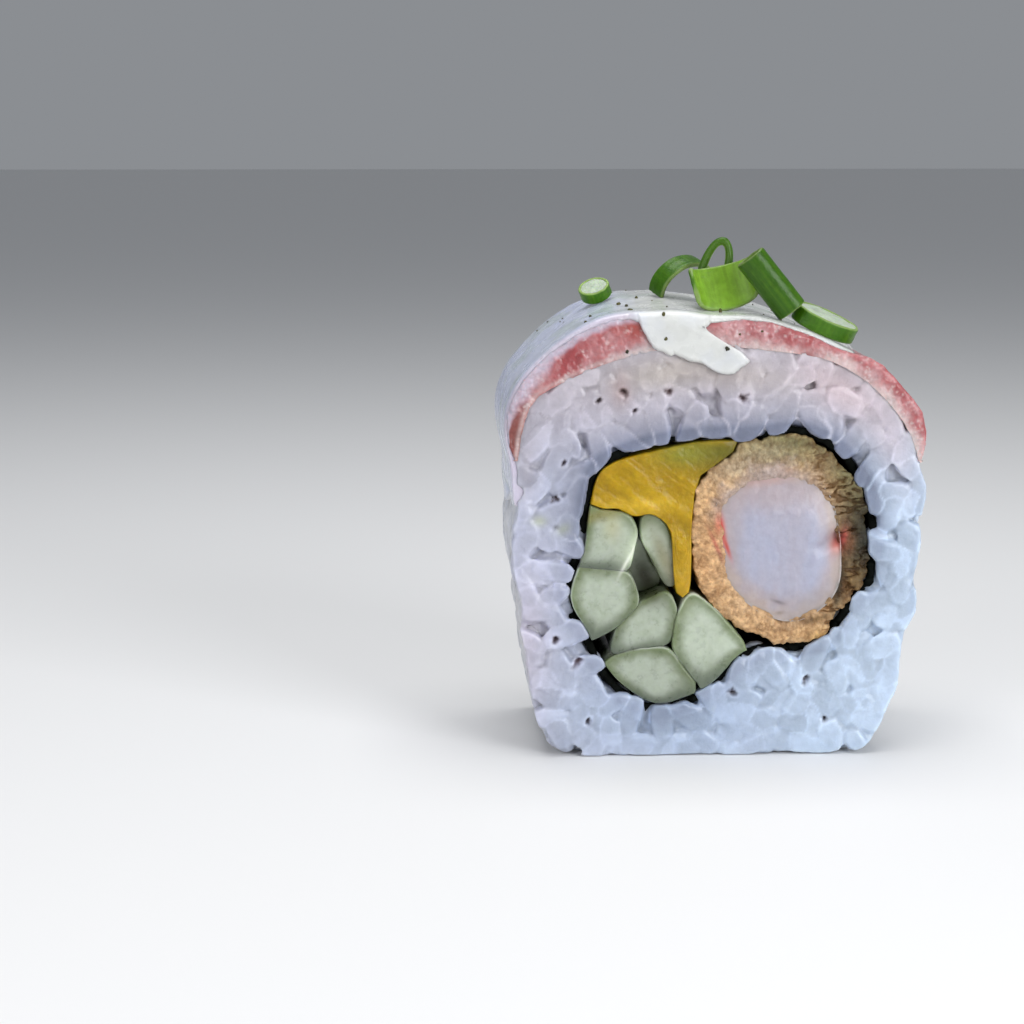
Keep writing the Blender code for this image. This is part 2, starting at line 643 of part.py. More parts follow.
def settle(piece, supports):
    """Lowers a piece straight down until it stands a gap above what carries it."""
    piece.data.transform(piece.matrix_world)
    piece.matrix_world = Matrix.Identity(4)
    graph = bpy.context.evaluated_depsgraph_get()
    own = BVHTree.FromObject(piece, graph)
    down, up, far = Vector((0, 0, -1)), Vector((0, 0, 1)), 200 * MM
    free = []
    for support in supports:
        tree = BVHTree.FromObject(support, graph)
        spots = [v.co for v in piece.data.vertices] + [f.center for f in piece.data.polygons]
        free += [tree.ray_cast(Vector(p), down, far)[3] for p in spots]
        spots = [v.co for v in support.data.vertices] + [f.center for f in support.data.polygons]
        free += [own.ray_cast(Vector(p), up, far)[3] for p in spots]
    drop = min(d for d in free if d is not None) - GAP * MM
    piece.data.transform(Matrix.Translation((0, 0, -drop)))
    return piece


def placed(piece, centre, axis, toward):
    """Turns a piece so that its local Z lies along axis and its local X as near as it can to toward."""
    z = Vector(axis).normalized()
    x = (Vector(toward) - z * z.dot(Vector(toward))).normalized()
    turn = Matrix((x, z.cross(x), z)).transposed()
    piece.matrix_world = Matrix.Translation(Vector(centre) * MM) @ turn.to_4x4()
    bpy.context.view_layer.update()
    return piece


def make_onion(cream):
    """Six slices of spring onion, each let down onto the cream or onto those under it."""
    arch = leaf_piece("onion_arch", (3.9, 3.3), 0.6, 2.6, 0.0, math.pi)
    settle(placed(arch, (-2.1, 0.6, 62), (0.52, -0.77, -0.36), (1, 0, 0)), [cream])
    loop = leaf_piece("onion_loop", (1.6, 4.0), 0.6, 1.4)
    settle(placed(loop, (1.1, -3.9, 62), (-0.12, -0.98, 0.10), (0.95, 0, -0.3)), [cream])
    scoop = leaf_piece("onion_scoop", (3.7, 1.9), 0.6, 3.0, math.radians(8), math.radians(164), end_cut=1.5)
    settle(placed(scoop, (1.8, -7.6, 62), (-0.2, 0.35, 0.9), (1, 0, 0.2)), [cream])
    tube = leaf_piece("onion_tube", (1.5, 1.2), 0.45, 7.7)
    settle(placed(tube, (6.6, -10.6, 62), (-0.62, 0.04, 0.78), (0.7, -0.6, 0.5)), [cream])
    ring = leaf_piece("onion_ring_right", (3.8, 2.4), 0.55, 1.9)
    settle(placed(ring, (13.0, -8.8, 60), (0.40, -0.14, 0.90), (1, 0, 0)), [cream])
    small = leaf_piece("onion_ring_left", (1.8, 1.4), 0.45, 1.6)
    settle(placed(small, (-12.2, -1.0, 60), (-0.3, -0.60, 0.74), (1, 0, 0)), [cream])


def main():
    dice = np.random.default_rng(SEED)
    clear_scene()
    make_rice(dice)
    make_nori()
    make_batter(dice)
    make_prawn()
    make_mango()
    make_cucumber()
    make_tuna()
    cream = make_sauce()
    make_onion(cream)


main()
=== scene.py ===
import logging
import math
from dataclasses import dataclass
from enum import Enum
from itertools import product

import bpy
import numpy as np
from mathutils import Matrix, Vector
from mathutils.bvhtree import BVHTree


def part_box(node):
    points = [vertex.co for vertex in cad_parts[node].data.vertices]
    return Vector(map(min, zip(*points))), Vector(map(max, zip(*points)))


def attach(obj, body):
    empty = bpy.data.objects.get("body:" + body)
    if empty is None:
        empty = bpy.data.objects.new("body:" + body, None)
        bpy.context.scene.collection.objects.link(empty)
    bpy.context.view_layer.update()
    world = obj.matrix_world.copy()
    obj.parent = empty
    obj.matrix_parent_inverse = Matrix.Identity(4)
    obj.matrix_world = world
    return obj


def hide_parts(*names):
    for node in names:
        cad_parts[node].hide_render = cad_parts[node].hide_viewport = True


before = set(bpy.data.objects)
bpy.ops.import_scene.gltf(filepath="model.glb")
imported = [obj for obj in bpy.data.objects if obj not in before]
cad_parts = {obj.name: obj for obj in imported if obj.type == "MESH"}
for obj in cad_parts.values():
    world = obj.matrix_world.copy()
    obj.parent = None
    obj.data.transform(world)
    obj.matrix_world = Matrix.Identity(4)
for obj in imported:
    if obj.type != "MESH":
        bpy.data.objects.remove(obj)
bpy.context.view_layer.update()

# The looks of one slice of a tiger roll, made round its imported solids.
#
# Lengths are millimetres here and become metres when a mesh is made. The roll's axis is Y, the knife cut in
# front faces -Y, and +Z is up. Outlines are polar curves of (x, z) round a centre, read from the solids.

BODY = "root"
MM = 0.001
TAU = 2 * math.pi
LOG = logging.getLogger("tiger_roll")

Array = np.ndarray
Colour = tuple[float, float, float]
Spot = tuple[float, float]

FRONT, BACK = (value / MM for value in (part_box("rice")[0][1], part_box("rice")[1][1]))
ROLL_CENTRE = (1.0, 21.2)


class Slot(Enum):
    """The record's material slots."""

    RICE = "rice"
    NORI = "nori"
    BATTER = "batter"
    PRAWN = "prawn"
    MANGO = "mango"
    CUCUMBER = "cucumber"
    TUNA = "tuna"
    CREAM = "cream"
    ONION = "onion"


def hashed(cells: Array, seed: int) -> Array:
    """Gives each whole-numbered (x, y, z) a random number by multiplying, shifting and mixing its bits.

    Args:
        cells: Whole numbers, with x, y and z on the last axis.
        seed: Picks another set of numbers.

    Returns:
        Numbers from 0 to 1, one for each cell.
    """
    whole = cells.astype(np.int64).astype(np.uint32)
    mixed = whole[..., 0] * np.uint32(73856093) ^ whole[..., 1] * np.uint32(19349663)
    mixed ^= whole[..., 2] * np.uint32(83492791)
    mixed ^= np.uint32(seed * 7919 + 17)
    for shift, factor in ((15, 2246822519), (13, 3266489917)):
        mixed ^= mixed >> np.uint32(shift)
        mixed *= np.uint32(factor)
    mixed ^= mixed >> np.uint32(16)
    return mixed / 4294967295.0


def lumps(points: Array, size: float, seed: int, octaves: int = 3) -> Array:
    """Soft lumps: random values at the corners of cubes, blended across them, with halved copies added.

    Args:
        points: Places in mm, with x, y and z on the last axis.
        size: Side of the largest cubes, in mm.
        seed: Picks another pattern.
        octaves: How many copies are added, each half as wide and half as high as the one before.

    Returns:
        Heights from -1 to 1.
    """
    total = np.zeros(points.shape[:-1])
    weights = 0.5 ** np.arange(octaves)
    for octave, weight in enumerate(weights):
        scaled = points / size * 2**octave + 31.7 * octave
        low = np.floor(scaled)
        across = scaled - low
        across = across * across * (3 - 2 * across)
        for corner in product((0, 1), repeat=3):
            share = np.prod(np.where(corner, across, 1 - across), axis=-1)
            total += weight * share * (2 * hashed(low + corner, seed + octave) - 1)
    return total / weights.sum()


def crumbs(points: Array, size: float, seed: int) -> tuple[Array, Array]:
    """Cells round scattered spots: one spot lies somewhere in each cube.

    Args:
        points: Places in mm, with x, y and z on the last axis.
        size: Side of the cubes, in mm.
        seed: Picks another pattern.

    Returns:
        The distance to the nearest spot in units of size, and that spot's random number.
    """
    scaled = points / size
    low = np.floor(scaled)
    nearest = np.full(points.shape[:-1], 9.0)
    tone = np.zeros(points.shape[:-1])
    for step in product((-1, 0, 1), repeat=3):
        cell = low + step
        spot = cell + np.stack([hashed(cell, seed + k) for k in range(3)], axis=-1)
        away = np.linalg.norm(scaled - spot, axis=-1)
        closer = away < nearest
        nearest = np.where(closer, away, nearest)
        tone = np.where(closer, hashed(cell, seed + 5), tone)
    return nearest, tone


def smoothed(values: Array, spread: float) -> Array:
    """Values round a closed ring, blurred with a bell curve of that many samples by damping quick waves."""
    waves = np.fft.rfftfreq(len(values))
    return np.fft.irfft(np.fft.rfft(values) * np.exp(-2 * (math.pi * spread * waves) ** 2), len(values))


def eased(value: Array, start: float, end: float) -> Array:
    """Rises smoothly from 0 at start to 1 at end: the cubic 3t^2 - 2t^3."""
    t = np.clip((value - start) / (end - start), 0, 1)
    return t * t * (3 - 2 * t)


def softly_over(value: Array, softness: float) -> Array:
    """The value where it is above 0 and 0 where it is below, with a rounded corner: s ln(1 + e^(v/s))."""
    return softness * np.logaddexp(0, value / softness)


def full_turn(count: int) -> Array:
    """That many even steps of angle round a full turn."""
    return np.linspace(0, TAU, count, endpoint=False)


def polar(centre: Spot, angles: Array, radii: Array | float, y: Array | float) -> Array:
    """Points at those angles and radii round the centre, in the upright plane at y."""
    x = centre[0] + radii * np.cos(angles)
    z = centre[1] + radii * np.sin(angles)
    return np.stack(np.broadcast_arrays(x, y, z), axis=-1)


def from_axis(angles: Array, length: Array | float) -> Array:
    """Steps of that length straight away from the roll's axis, at those angles."""
    return polar((0.0, 0.0), angles, length, 0.0)


def angle_of(points: Array, centre: Spot = ROLL_CENTRE) -> tuple[Array, Array]:
    """The angle and the radius of each point round the centre."""
    x, z = points[..., 0] - centre[0], points[..., 2] - centre[1]
    return np.arctan2(z, x) % TAU, np.hypot(x, z)


def tinged(tint: Array, colour: Colour | Array, share: Array) -> Array:
    """The tints with another colour laid over them, by a share from 0 to 1."""
    share = share[..., None]
    return tint * (1 - share) + np.array(colour) * share


class Solid:
    """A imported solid's mesh as arrays, in millimetres."""

    def __init__(self, node: str) -> None:
        """Reads the node's vertices and triangles."""
        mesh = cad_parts[node].data
        points = np.empty(len(mesh.vertices) * 3)
        mesh.vertices.foreach_get("co", points)
        mesh.calc_loop_triangles()
        corners = np.empty(len(mesh.loop_triangles) * 3, dtype=np.int32)
        mesh.loop_triangles.foreach_get("vertices", corners)
        self.points = points.reshape(-1, 3) / MM
        self.corners = corners.reshape(-1, 3)
        self.low, self.high = self.points.min(0), self.points.max(0)

    def cut(self, y: float) -> Array:
        """Cuts every triangle with the upright plane at y.

        Args:
            y: Where the plane stands.

        Returns:
            The (x, z) ends of the cut through each triangle that the plane meets, as (count, 2, 2).
        """
        start = self.points[self.corners]
        end = np.roll(start, -1, axis=1)
        crosses = (start[..., 1] > y) != (end[..., 1] > y)
        share = (y - start[..., 1]) / np.where(crosses, end[..., 1] - start[..., 1], 1)
        where = start + share[..., None] * (end - start)
        return where[crosses][:, (0, 2)].reshape(-1, 2, 2)

    def radii(self, centre: Spot, y: float, angles: Array, far: bool = True) -> Array:
        """Looks out from the centre at each angle for the cut at y.

        Args:
            centre: The (x, z) that the rays leave.
            y: The plane of the cut.
            angles: The rays' angles.
            far: Whether the last cut on a ray counts, or the first.

        Returns:
            The distance to the cut, and 0 where a ray meets none.
        """
        ends = self.cut(y) - np.array(centre)
        ray = np.stack([np.cos(angles), np.sin(angles)], axis=1)[:, None]
        side = ends[None, :, :, 0] * ray[..., None, 1] - ends[None, :, :, 1] * ray[..., None, 0]
        meets = (side[..., 0] > 0) != (side[..., 1] > 0)
        share = side[..., 0] / np.where(meets, side[..., 0] - side[..., 1], 1)
        hit = ends[None, :, 0] + share[..., None] * (ends[None, :, 1] - ends[None, :, 0])
        reach = (hit * ray).sum(-1)
        ahead = meets & (reach > 0)
        if far:
            return np.where(ahead, reach, 0).max(1)
        nearest = np.where(ahead, reach, np.inf).min(1)
        return np.where(np.isfinite(nearest), nearest, 0)


@dataclass(frozen=True)
class Round:
    """A closed outline kept as a radius at even steps of angle round the roll's centre."""

    radii: Array

    def at(self, angles: Array) -> Array:
        """The outline's radius at those angles."""
        steps = np.linspace(0, TAU, len(self.radii) + 1)
        return np.interp(angles % TAU, steps, np.append(self.radii, self.radii[0]))


def grid_faces(rows: int, columns: int, closed_rows: bool, closed_columns: bool) -> Array:
    """Four-cornered faces between neighbouring points of a grid, which may join up either way.

    Args:
        rows: Points down the grid.
        columns: Points across it.
        closed_rows: Whether the last row joins the first.
        closed_columns: Whether the last column joins the first.

    Returns:
        Point numbers, one row of four for each face.
    """
    row = np.arange(rows if closed_rows else rows - 1)[:, None]
    column = np.arange(columns if closed_columns else columns - 1)[None, :]
    down, across = (row + 1) % rows, (column + 1) % columns
    here, below = row * columns, down * columns
    corners = (here + column, here + across, below + across, below + column)
    return np.stack(np.broadcast_arrays(*corners), axis=-1).reshape(-1, 4)


class Skin:
    """A closed surface on its way to being a piece: its points, its faces and the tint of each point."""

    def __init__(self, points: Array, faces: list[Array]) -> None:
        """Keeps the points in mm, and turns the faces outwards if they face in."""
        self.points = points
        self.faces = faces
        self.tint = np.ones_like(points)
        if self.volume() < 0:
            self.faces = [block[:, ::-1] for block in faces]

    @classmethod
    def ring(cls, grid: Array) -> "Skin":
        """A surface that closes both ways, like a tyre."""
        rows, columns = grid.shape[:2]
        return cls(grid.reshape(-1, 3), [grid_faces(rows, columns, True, True)])

    @classmethod
    def capped(cls, grid: Array) -> "Skin":
        """A tube whose first and last row each close to a pole in their middle."""
        rows, columns = grid.shape[:2]
        poles = np.stack([grid[0].mean(0), grid[-1].mean(0)])
        column = np.arange(columns)
        across = (column + 1) % columns
        first, last = np.full(columns, rows * columns), np.full(columns, rows * columns + 1)
        end = (rows - 1) * columns
        fans = np.concatenate([
            np.stack([first, across, column], axis=1),
            np.stack([last, end + column, end + across], axis=1),
        ])
        sides = grid_faces(rows, columns, False, True)
        return cls(np.concatenate([grid.reshape(-1, 3), poles]), [sides, fans])

    @classmethod
    def copies(cls, points: Array, faces: list[Array]) -> "Skin":
        """Many of one closed surface: points as (copies, points, 3), and the faces of one copy."""
        start = (np.arange(len(points)) * points.shape[1])[:, None, None]
        numbered = [(block[None] + start).reshape(-1, block.shape[1]) for block in faces]
        return cls(points.reshape(-1, 3), numbered)

    @classmethod
    def joined(cls, skins: list["Skin"]) -> "Skin":
        """Several closed surfaces as one."""
        starts = np.cumsum([0] + [len(skin.points) for skin in skins[:-1]])
        faces = [block + start for skin, start in zip(skins, starts) for block in skin.faces]
        return cls(np.concatenate([skin.points for skin in skins]), faces)

    def fused(self, voxel: float, rounds: int) -> "Skin":
        """Melts all the closed surfaces into one skin of even quads.

        Args:
            voxel: The side of a quad, in mm.
            rounds: How many times the new skin is smoothed.

        Returns:
            The skin, whose points are moved to the mean of their neighbours that many times, by half.
        """
        draft = self.mesh("draft")
        obj = bpy.data.objects.new("draft", draft)
        bpy.context.collection.objects.link(obj)
        melt = obj.modifiers.new("melt", "REMESH")
        melt.mode = "VOXEL"
        melt.voxel_size = voxel * MM
        smooth = obj.modifiers.new("smooth", "SMOOTH")
        smooth.factor = 0.5
        smooth.iterations = rounds
        done = obj.evaluated_get(bpy.context.evaluated_depsgraph_get()).to_mesh()
        points = np.empty(len(done.vertices) * 3)
        done.vertices.foreach_get("co", points)
        corners = np.empty(len(done.loops), dtype=np.int32)
        done.loops.foreach_get("vertex_index", corners)
        quads = corners.reshape(-1, 4)
        bpy.data.objects.remove(obj)
        bpy.data.meshes.remove(draft)
        return Skin(points.reshape(-1, 3) / MM, [quads])

    def hollowness(self, rounds: int) -> Array:
        """How far each point lies below the mean of its neighbours, along its normal, in mm.

        Args:
            rounds: How many times the result is spread over the neighbours.

        Returns:
            The depths, above 0 in a furrow and below 0 on a ridge.
        """
        quads = self.faces[0]
        edges = np.concatenate([quads[:, (k, (k + 1) % 4)] for k in range(4)])
        count = np.bincount(edges[:, 0], minlength=len(self.points))[:, None]

        def spread(values: Array) -> Array:
            """The mean of the neighbours' values."""
            columns = values[edges[:, 1]].T
            sums = [np.bincount(edges[:, 0], column, len(self.points)) for column in columns]
            return np.stack(sums, axis=1) / count

        corners = self.points[quads]
        across = np.cross(corners[:, 2] - corners[:, 0], corners[:, 3] - corners[:, 1])
        normal = np.stack([
            np.bincount(quads.ravel(), np.repeat(across[:, k], 4), len(self.points)) for k in range(3)
        ], axis=1)
        normal /= np.linalg.norm(normal, axis=1, keepdims=True)
        depth = ((spread(self.points) - self.points) * normal).sum(1, keepdims=True)
        for _ in range(rounds):
            depth = 0.5 * (depth + spread(depth))
        return depth[:, 0]

    def mesh(self, name: str) -> bpy.types.Mesh:
        """The surface as a smooth-shaded mesh, in metres."""
        mesh = bpy.data.meshes.new(name)
        mesh.vertices.add(len(self.points))
        mesh.vertices.foreach_set("co", (self.points * MM).ravel())
        corners = np.concatenate([block.ravel() for block in self.faces]).astype(np.int32)
        sizes = np.concatenate([np.full(len(block), block.shape[1]) for block in self.faces])
        mesh.loops.add(len(corners))
        mesh.loops.foreach_set("vertex_index", corners)
        mesh.polygons.add(len(sizes))
        mesh.polygons.foreach_set("loop_start", np.concatenate([[0], np.cumsum(sizes)[:-1]]).astype(np.int32))
        mesh.update(calc_edges=True)
        mesh.shade_smooth()
        return mesh

    def volume(self) -> float:
        """Six times the space inside: the sum of a.(b x c) over the faces cut into triangles."""
        total = 0.0
        for block in self.faces:
            for k in range(1, block.shape[1] - 1):
                a, b, c = (self.points[block[:, i]] for i in (0, k, k + 1))
                total += float((a * np.cross(b, c)).sum())
        return total

    def piece(self, name: str, finish: "Finish", *nodes: str) -> bpy.types.Object:
        """Makes the piece in the scene, with its material, named for its slot, and its place on the roll.

        Args:
            name: The piece's name.
            finish: What it is finished with.
            nodes: The solids that it stands for.

        Returns:
            The new object.
        """
        mesh = self.mesh(name)
        tint = mesh.color_attributes.new("tint", "FLOAT_COLOR", "POINT")
        tint.data.foreach_set("color", np.column_stack([self.tint, np.ones(len(self.tint))]).ravel())
        obj = bpy.data.objects.new(name, mesh)
        bpy.context.collection.objects.link(obj)
        obj.data.materials.append(finish.material())
        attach(obj, BODY)
        if nodes:
            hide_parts(*nodes)
        LOG.info("%s: %d points", name, len(self.points))
        return obj


@dataclass(frozen=True)
class Finish:
    """How one food looks. Its colour is the piece's tint attribute, mottled.

    Sizes are in mm. sink is how far light travels inside, in red, green and blue. uneven is how far the
    roughness swings either way.
    """

    slot: Slot
    roughness: float
    sink: Colour
    soft: float = 1.0
    mottle: float = 0.1
    mottle_size: float = 2.0
    relief: float = 0.03
    relief_size: float = 0.4
    coat: float = 0.0
    sheen: float = 0.0
    gloss: float = 0.35
    uneven: float = 0.12
    coat_roughness: float = 0.2
    sheen_roughness: float = 0.25
    name: str = ""

    def material(self) -> bpy.types.Material:
        """Makes the finish's node material once: tint times noise, uneven shine and a fine bump."""
        title = (self.name or self.slot.value) + "_finish"
        found = bpy.data.materials.get(title)
        if found:
            return found
        made = bpy.data.materials.new(title)
        made.use_nodes = True
        tree = made.node_tree
        shader = tree.nodes["Principled BSDF"]
        place = tree.nodes.new("ShaderNodeTexCoord").outputs["Object"]
        patches = self.noise(tree, place, self.mottle_size, 4.0)
        darken = tree.nodes.new("ShaderNodeMapRange")
        darken.inputs["From Min"].default_value = 0.3
        darken.inputs["From Max"].default_value = 0.7
        darken.inputs["To Min"].default_value = 1.0 - self.mottle
        tree.links.new(patches, darken.inputs["Value"])
        tint = tree.nodes.new("ShaderNodeAttribute")
        tint.attribute_name = "tint"
        mixed = tree.nodes.new("ShaderNodeVectorMath")
        mixed.operation = "SCALE"
        tree.links.new(tint.outputs["Color"], mixed.inputs[0])
        tree.links.new(darken.outputs["Result"], mixed.inputs["Scale"])
        tree.links.new(mixed.outputs["Vector"], shader.inputs["Base Color"])

        dull = tree.nodes.new("ShaderNodeMapRange")
        dull.inputs["To Min"].default_value = max(self.roughness - self.uneven, 0.05)
        dull.inputs["To Max"].default_value = self.roughness + self.uneven
        tree.links.new(patches, dull.inputs["Value"])
        tree.links.new(dull.outputs["Result"], shader.inputs["Roughness"])

        bump = tree.nodes.new("ShaderNodeBump")
        bump.inputs["Distance"].default_value = self.relief * MM
        tree.links.new(self.noise(tree, place, self.relief_size, 3.0), bump.inputs["Height"])
        tree.links.new(bump.outputs["Normal"], shader.inputs["Normal"])

        for socket, value in (
            ("Specular IOR Level", self.gloss), ("Subsurface Weight", self.soft),
            ("Subsurface Radius", self.sink), ("Subsurface Scale", MM), ("Coat Weight", self.coat),
            ("Coat Roughness", self.coat_roughness), ("Sheen Weight", self.sheen),
            ("Sheen Roughness", self.sheen_roughness),
        ):
            shader.inputs[socket].default_value = value
        return made

    def noise(
        self, tree: bpy.types.NodeTree, place: bpy.types.NodeSocket, size: float, detail: float
    ) -> bpy.types.NodeSocket:
        """The output of a noise texture whose lumps are that many mm across."""
        made = tree.nodes.new("ShaderNodeTexNoise")
        made.inputs["Scale"].default_value = 1 / (size * MM)
        made.inputs["Detail"].default_value = detail
        tree.links.new(place, made.inputs["Vector"])
        return made.outputs["Fac"]


@dataclass(frozen=True)
class StainOrPaintedLight:
    """A soft patch of another colour on a cut face, some of them real marks and others painted shade and
    painted highlights: its (x, z) and reach both ways in mm, and its slant.
    """

    x: float
    z: float
    along: float
    across: float
    colour: Colour
    strength: float = 1.0
    slant: float = 0.0

    def over(self, points: Array, tint: Array) -> Array:
        """Blends the colour in by strength e^-(u^2 + v^2), u and v being the distances along and across.

        Args:
            points: Places in mm.
            tint: Their colours so far.

        Returns:
            The colours with the patch laid over them.
        """
        slant = math.radians(self.slant)
        x, z = points[..., 0] - self.x, points[..., 2] - self.z
        u = (x * math.cos(slant) + z * math.sin(slant)) / self.along
        v = (z * math.cos(slant) - x * math.sin(slant)) / self.across
        return tinged(tint, self.colour, self.strength * np.exp(-u * u - v * v))


def with_stains_and_painted_light(points: Array, base: Array, stains_and_painted_light: tuple[StainOrPaintedLight, ...]) -> Array:
    """The base colours with each patch laid over them in turn, real marks and painted light and shade alike.
    """
    for stain in stains_and_painted_light:
        base = stain.over(points, base)
    return base


def blend(low: Colour, high: Colour, share: Array) -> Array:
    """Colours between low, where share is 0, and high, where it is 1."""
    share = np.clip(share, 0, 1)[..., None]
    return np.array(low) * (1 - share) + np.array(high) * share


@dataclass
class Outlines:
    """The curves that the pieces share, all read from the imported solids."""

    samples: int = 1440
    blur: float = 5.0
    # The widest gap to the nori that a filling closes at all, and the gap that stays
    reach: float = 1.3
    left: float = 0.05
    # Where more of it stays, as (x, z, half width, half height, gap): over the mango, under the cucumber
    wider: tuple[tuple[float, ...], ...] = ((-7.0, 36.0, 5.0, 3.0, 0.4), (-8.0, 7.0, 7.0, 3.0, 0.35))

    def __post_init__(self) -> None:
        """Cuts the solids halfway through the roll."""
        angles = full_turn(self.samples)
        rice, nori, tuna = Solid("rice"), Solid("nori"), Solid("tuna")
        self.rice = Round(smoothed(rice.radii(ROLL_CENTRE, 0.0, angles), 2 * self.blur))
        self.hole = Round(smoothed(nori.radii(ROLL_CENTRE, 0.0, angles), self.blur))
        self.lining = Round(smoothed(nori.radii(ROLL_CENTRE, 0.0, angles, far=False), self.blur))
        over = tuna.radii(ROLL_CENTRE, 0.0, angles)
        under = tuna.radii(ROLL_CENTRE, 0.0, angles, far=False)
        covered = angles[over > 0]
        self.tuna_ends = (covered.min(), covered.max())
        self.tuna_under, self.tuna_over = Round(under), Round(over)
        self.carried = Round(smoothed(np.maximum(over, self.rice.radii), 2 * self.blur))
        self.mat = Round(smoothed(np.maximum(under + 0.15, self.rice.radii), self.blur))

    def filled_out(self, points: Array) -> Array:
        """Swells a filling against the nori: where the lining is within reach, most of the gap closes.

        Args:
            points: Places in mm.

        Returns:
            The points, moved away from the roll's middle.
        """
        angle, radius = angle_of(points)
        x, z = points[..., 0], points[..., 2]
        left = self.left
        for middle, height, wide, tall, more in self.wider:
            left = left + more * np.exp(-(((x - middle) / wide) ** 2) - ((z - height) / tall) ** 2)
        gap = self.lining.at(angle) - radius
        closing = eased(-gap, -self.reach, -0.55 * self.reach)
        out = np.where(gap < 2 * self.reach, (gap - left) * closing, 0)
        return polar(ROLL_CENTRE, angle, radius + out, points[..., 1])


